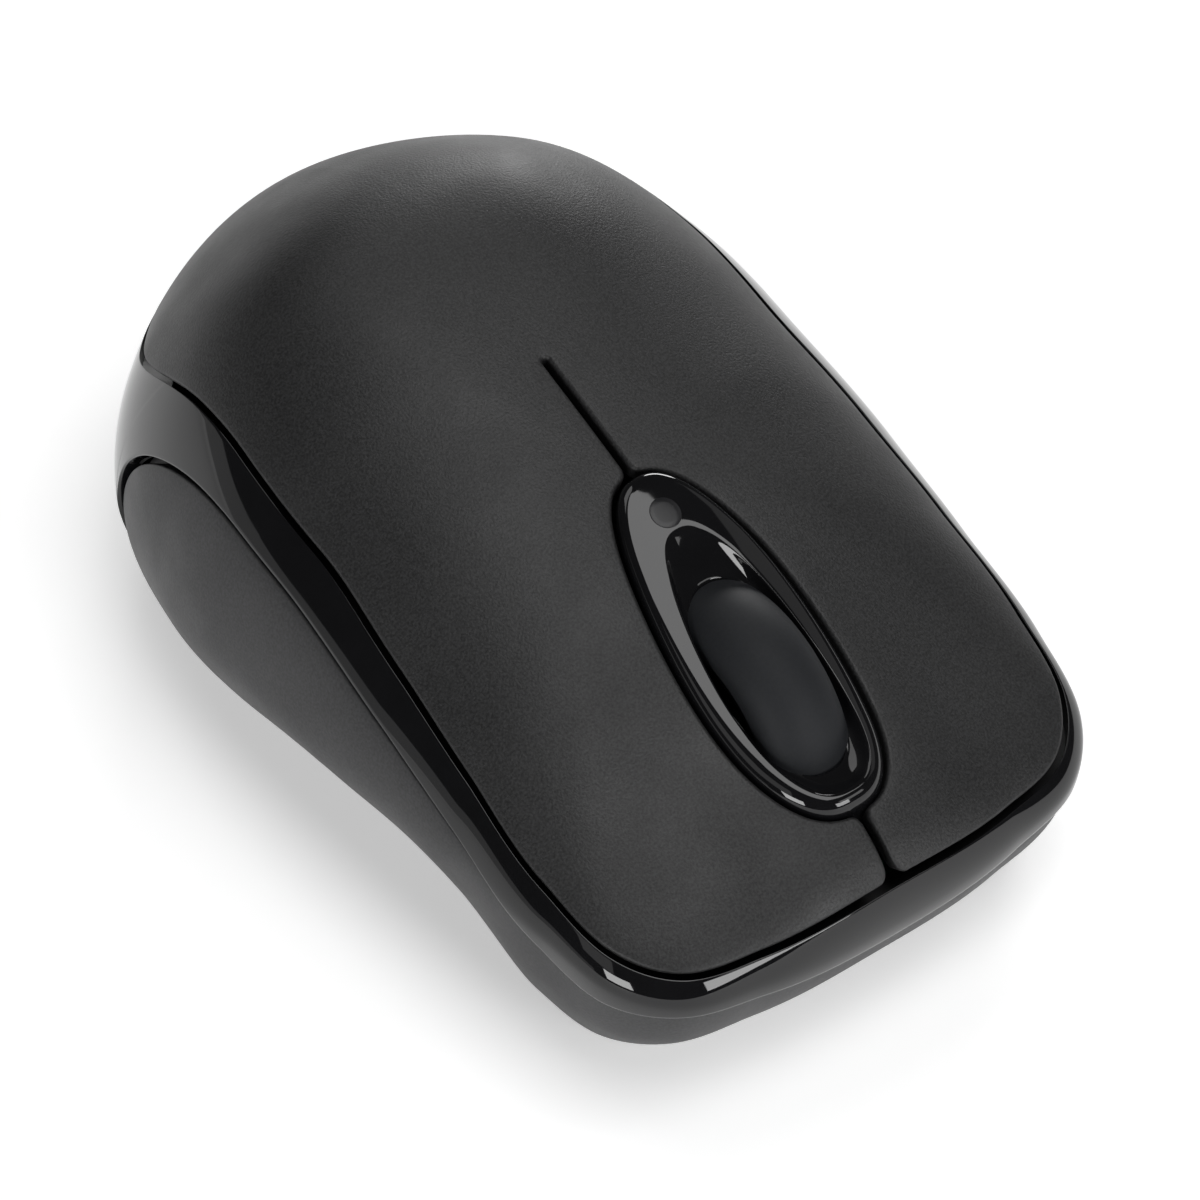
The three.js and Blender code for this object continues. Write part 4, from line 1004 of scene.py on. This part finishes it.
def add_bezel():
    bezel = Shape()
    added = bezel.loft(list(zip(*[bezel_section(t) for t in turns_round(240)])))
    bezel.strip(added[-1], added[0])
    make("gloss_bezel", bezel, MATERIALS["gloss_black"], "case", ("wheel_bezel",),
         sharp=60)


def add_lens():
    """A round window, flush but for its own fine edge."""
    low, high = box_mm("indicator_lens")
    centre = (low + high) / 2
    radius = (high.x - low.x) / 2
    lens = Shape()
    rows = []
    for grow, height in LENS_RINGS:
        ring = circle(centre.x, centre.y, radius + grow, 56)
        rows.append([on_bezel(p, height) for p in ring])
    added = lens.loft(rows)
    lens.cap(added[0])
    lens.cap(added[-1])
    make("indicator_window", lens, MATERIALS["smoked_window"], "case",
         ("indicator_lens",))


def add_tyre():
    """The smooth tyre, whose tread is crowned from side to side."""
    low, high = box_mm("wheel_tyre")
    centre = Vector(joint("wheel_spin")["pos_m"]) / MM
    half = (high.x - low.x) / 2
    radius = (high.z - low.z) / 2
    turns = np.linspace(-math.pi / 2, math.pi / 2, 41)
    outside = [(half * math.sin(t), radius - TYRE_CROWN * (1 - math.cos(t))) for t in turns]
    bore = radius - TYRE_DEPTH
    profile = [(-half, bore), *outside, (half, bore)]
    tyre = Shape()
    rows = [[centre + Vector((x, r * math.cos(t), r * math.sin(t))) for t in turns_round(144)]
            for x, r in profile]
    added = tyre.loft(rows)
    tyre.strip(added[-1], added[0])
    make("tyre", tyre, MATERIALS["tyre_rubber"], "wheel", ("wheel_tyre",))


def add_spring():
    """The carrier's spring: a coil between the board and the carrier's ear."""
    low, high = box_mm("carrier_spring")
    centre = (low + high) / 2
    wire = SPRING["wire"]
    radius = (high.x - low.x) / 2 - wire
    steps = SPRING["turns"] * SPRING["per_turn"]
    rows = []
    for i in range(steps + 1):
        turn = 2 * math.pi * i / SPRING["per_turn"]
        outward = Vector((math.cos(turn), math.sin(turn), 0))
        height = lerp(low.z + wire, high.z - wire, i / steps)
        middle = Vector((centre.x, centre.y, height)) + outward * radius
        rows.append([middle + wire * (outward * math.cos(t) + Vector((0, 0, math.sin(t))))
                     for t in turns_round(SPRING["sides"])])
    coil = Shape()
    added = coil.loft(rows)
    coil.cap(added[0])
    coil.cap(added[-1])
    piece = make("coil_spring", coil, MATERIALS["bright_steel"], None,
                 ("carrier_spring",))
    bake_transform(piece)


# ---- The underside's own pieces ----------------------------------------------------------------
def add_door():
    """The battery door, with a grip of grooves near its rear end."""
    low = box_mm("battery_door")[0]
    door = Shape()
    grooves = [low.y + 3 + DOOR_GRIP["apart"] * i for i in range(DOOR_GRIP["count"])]
    holes = [(groove(0, y, DOOR_GRIP), DOOR_GRIP["depth"], 0.15) for y in grooves]
    slab(door, door_outline(), low.z, DOOR_TOP, 0.3, holes)
    make("battery_cover", door, MATERIALS["case_grey"], "battery_door",
         ("battery_door",))


def add_feet():
    for foot in FEET:
        low, high = box_mm(foot)
        pad = Shape()
        slab(pad, boxed(foot, foot_radius(foot)), low.z, high.z, 0.3)
        make(foot + "_pad", pad, MATERIALS["foot_grey"], "case", (foot,))


def add_receiver_cap():
    """The receiver's cap, with grooves to pull it out by."""
    low, high = box_mm("receiver_cap")
    middle = (low + high) / 2
    first = middle.y - CAP_GRIP["apart"] * (CAP_GRIP["count"] - 1) / 2
    grooves = [first + CAP_GRIP["apart"] * i for i in range(CAP_GRIP["count"])]
    holes = [(groove(middle.x, y, CAP_GRIP), CAP_GRIP["depth"], 0.12) for y in grooves]
    grip = Shape()
    slab(grip, boxed("receiver_cap", CAP_CORNER), low.z, high.z, 0.4, holes)
    make("receiver_grip", grip, MATERIALS["inner_black"], "receiver",
         ("receiver_cap",))


def add_slider():
    """The power slider: a small plate with three ribs and a stem up to its switch."""
    low, high = box_mm("power_switch_slider")
    middle = (low + high) / 2
    slider = Shape()
    slab(slider, boxed("power_switch_slider", SLIDER_CORNER), *SLIDER_PLATE, 0.15)
    for step in (-1, 0, 1):
        centre = middle.xy + Vector((0, SLIDER_RIB["apart"] * step))
        slab(slider, block(centre, SLIDER_RIB["half"]), low.z, SLIDER_RIB["top"], 0.12)
    slab(slider, block(middle.xy, SLIDER_STEM["half"]), SLIDER_STEM["bottom"], high.z, 0.05)
    make("power_slider_plate", slider, MATERIALS["inner_black"], "power_slider",
         ("power_switch_slider",))


def finish_cad_nodes():
    """Gives every CAD node that still shows the material of its slot."""
    for part in frame["record"]["subparts"]:
        node = frame["nodes"][part["node"]]
        if not node.hide_render:
            for slot in node.material_slots:
                slot.material = MATERIALS[part["material_slot"]]


# ---- The set: floor, lights and camera ---------------------------------------------------------
def add_floor():
    """A pale table that glows a little, so that the background comes out white."""
    mesh = bpy.data.meshes.new("floor")
    sides = ((-1, -1), (1, -1), (1, 1), (-1, 1))
    corners = [(x * TABLE_REACH, y * TABLE_REACH, 0) for x, y in sides]
    mesh.from_pydata(corners, [], [(0, 1, 2, 3)])
    floor = bpy.data.objects.new("floor", mesh)
    bpy.context.scene.collection.objects.link(floor)
    paper = moulded("lit_table", (0.9, 0.9, 0.9), 0.7, 3, 0.002, tint=1.01,
                    Emission_Color=(1, 1, 1, 1), Emission_Strength=TABLE_GLOW)
    mesh.materials.append(paper)


def direction(azimuth, elevation):
    """A unit vector towards a place: azimuth 0 is behind the mouse (-Y) and 90 its right (+X)."""
    a, e = math.radians(azimuth), math.radians(elevation)
    return Vector((math.sin(a) * math.cos(e), -math.cos(a) * math.cos(e), math.sin(e)))


def add_softbox(name, azimuth, elevation, distance, size, power):
    """An area light that faces the mouse."""
    light = bpy.data.lights.new(name, "AREA")
    light.shape = "RECTANGLE"
    light.size, light.size_y = size
    light.energy = power
    obj = bpy.data.objects.new(name, light)
    back = direction(azimuth, elevation)
    obj.location = back * distance
    obj.rotation_euler = back.to_track_quat("Z", "Y").to_euler()
    bpy.context.scene.collection.objects.link(obj)


# Each softbox: name, azimuth, elevation, distance (m), size (m) and power (W).
SOFTBOXES = [
    ("top_box", 215, 77, 1.3, (0.85, 0.7), 6.3),
    ("rear_box", 0, 60, 1.3, (0.6, 0.6), 2.0),
    ("rear_left_box", 315, 14, 1.3, (0.6, 0.35), 6.9),
    ("left_box", 262, 42, 1.3, (0.5, 0.5), 0.3),
    ("front_box", 203, 30, 1.3, (0.6, 0.35), 1.4),
    ("right_box", 110, 35, 1.3, (0.5, 0.5), 0.5),
    ("front_strip", 188, 17, 1.3, (0.45, 0.42), 4.6),
    ("front_right_spot", 122, 14, 1.3, (0.4, 0.38), 4.4),
    ("right_card", 65, 4, 1.0, (1.5, 0.14), 0.3),
]


def add_lights():
    for softbox in SOFTBOXES:
        add_softbox(*softbox)
    world = bpy.data.worlds.new("studio")
    world.use_nodes = True
    background = world.node_tree.nodes["Background"]
    background.inputs["Color"].default_value = (1, 1, 1, 1)
    background.inputs["Strength"].default_value = WORLD_GLOW
    bpy.context.scene.world = world
    bpy.context.scene.view_settings.view_transform = "Standard"


def add_camera():
    data = bpy.data.cameras.new("camera")
    data.lens = CAMERA_LENS
    data.clip_start, data.clip_end = 0.05, 20
    camera = bpy.data.objects.new("camera", data)
    back = direction(VIEW_AZIMUTH, VIEW_ELEVATION)
    right = Vector((math.cos(math.radians(VIEW_AZIMUTH)), math.sin(math.radians(VIEW_AZIMUTH)), 0))
    turned = Matrix.Rotation(math.radians(VIEW_ROLL), 3, back)
    right = turned @ right
    up = back.cross(right)
    rotation = Matrix((right, up, back)).transposed().to_4x4()
    camera.matrix_world = Matrix.Translation(VIEW_TARGET * MM + back * VIEW_DISTANCE) @ rotation
    bpy.context.scene.collection.objects.link(camera)
    bpy.context.scene.camera = camera


add_camera()
add_floor()
add_lights()
add_cover()
add_band()
add_shelf()
add_case()
add_battery_bay()
add_receiver_pocket()
add_bezel()
add_lens()
add_tyre()
add_spring()
add_door()
add_feet()
add_receiver_cap()
add_slider()
finish_cad_nodes()
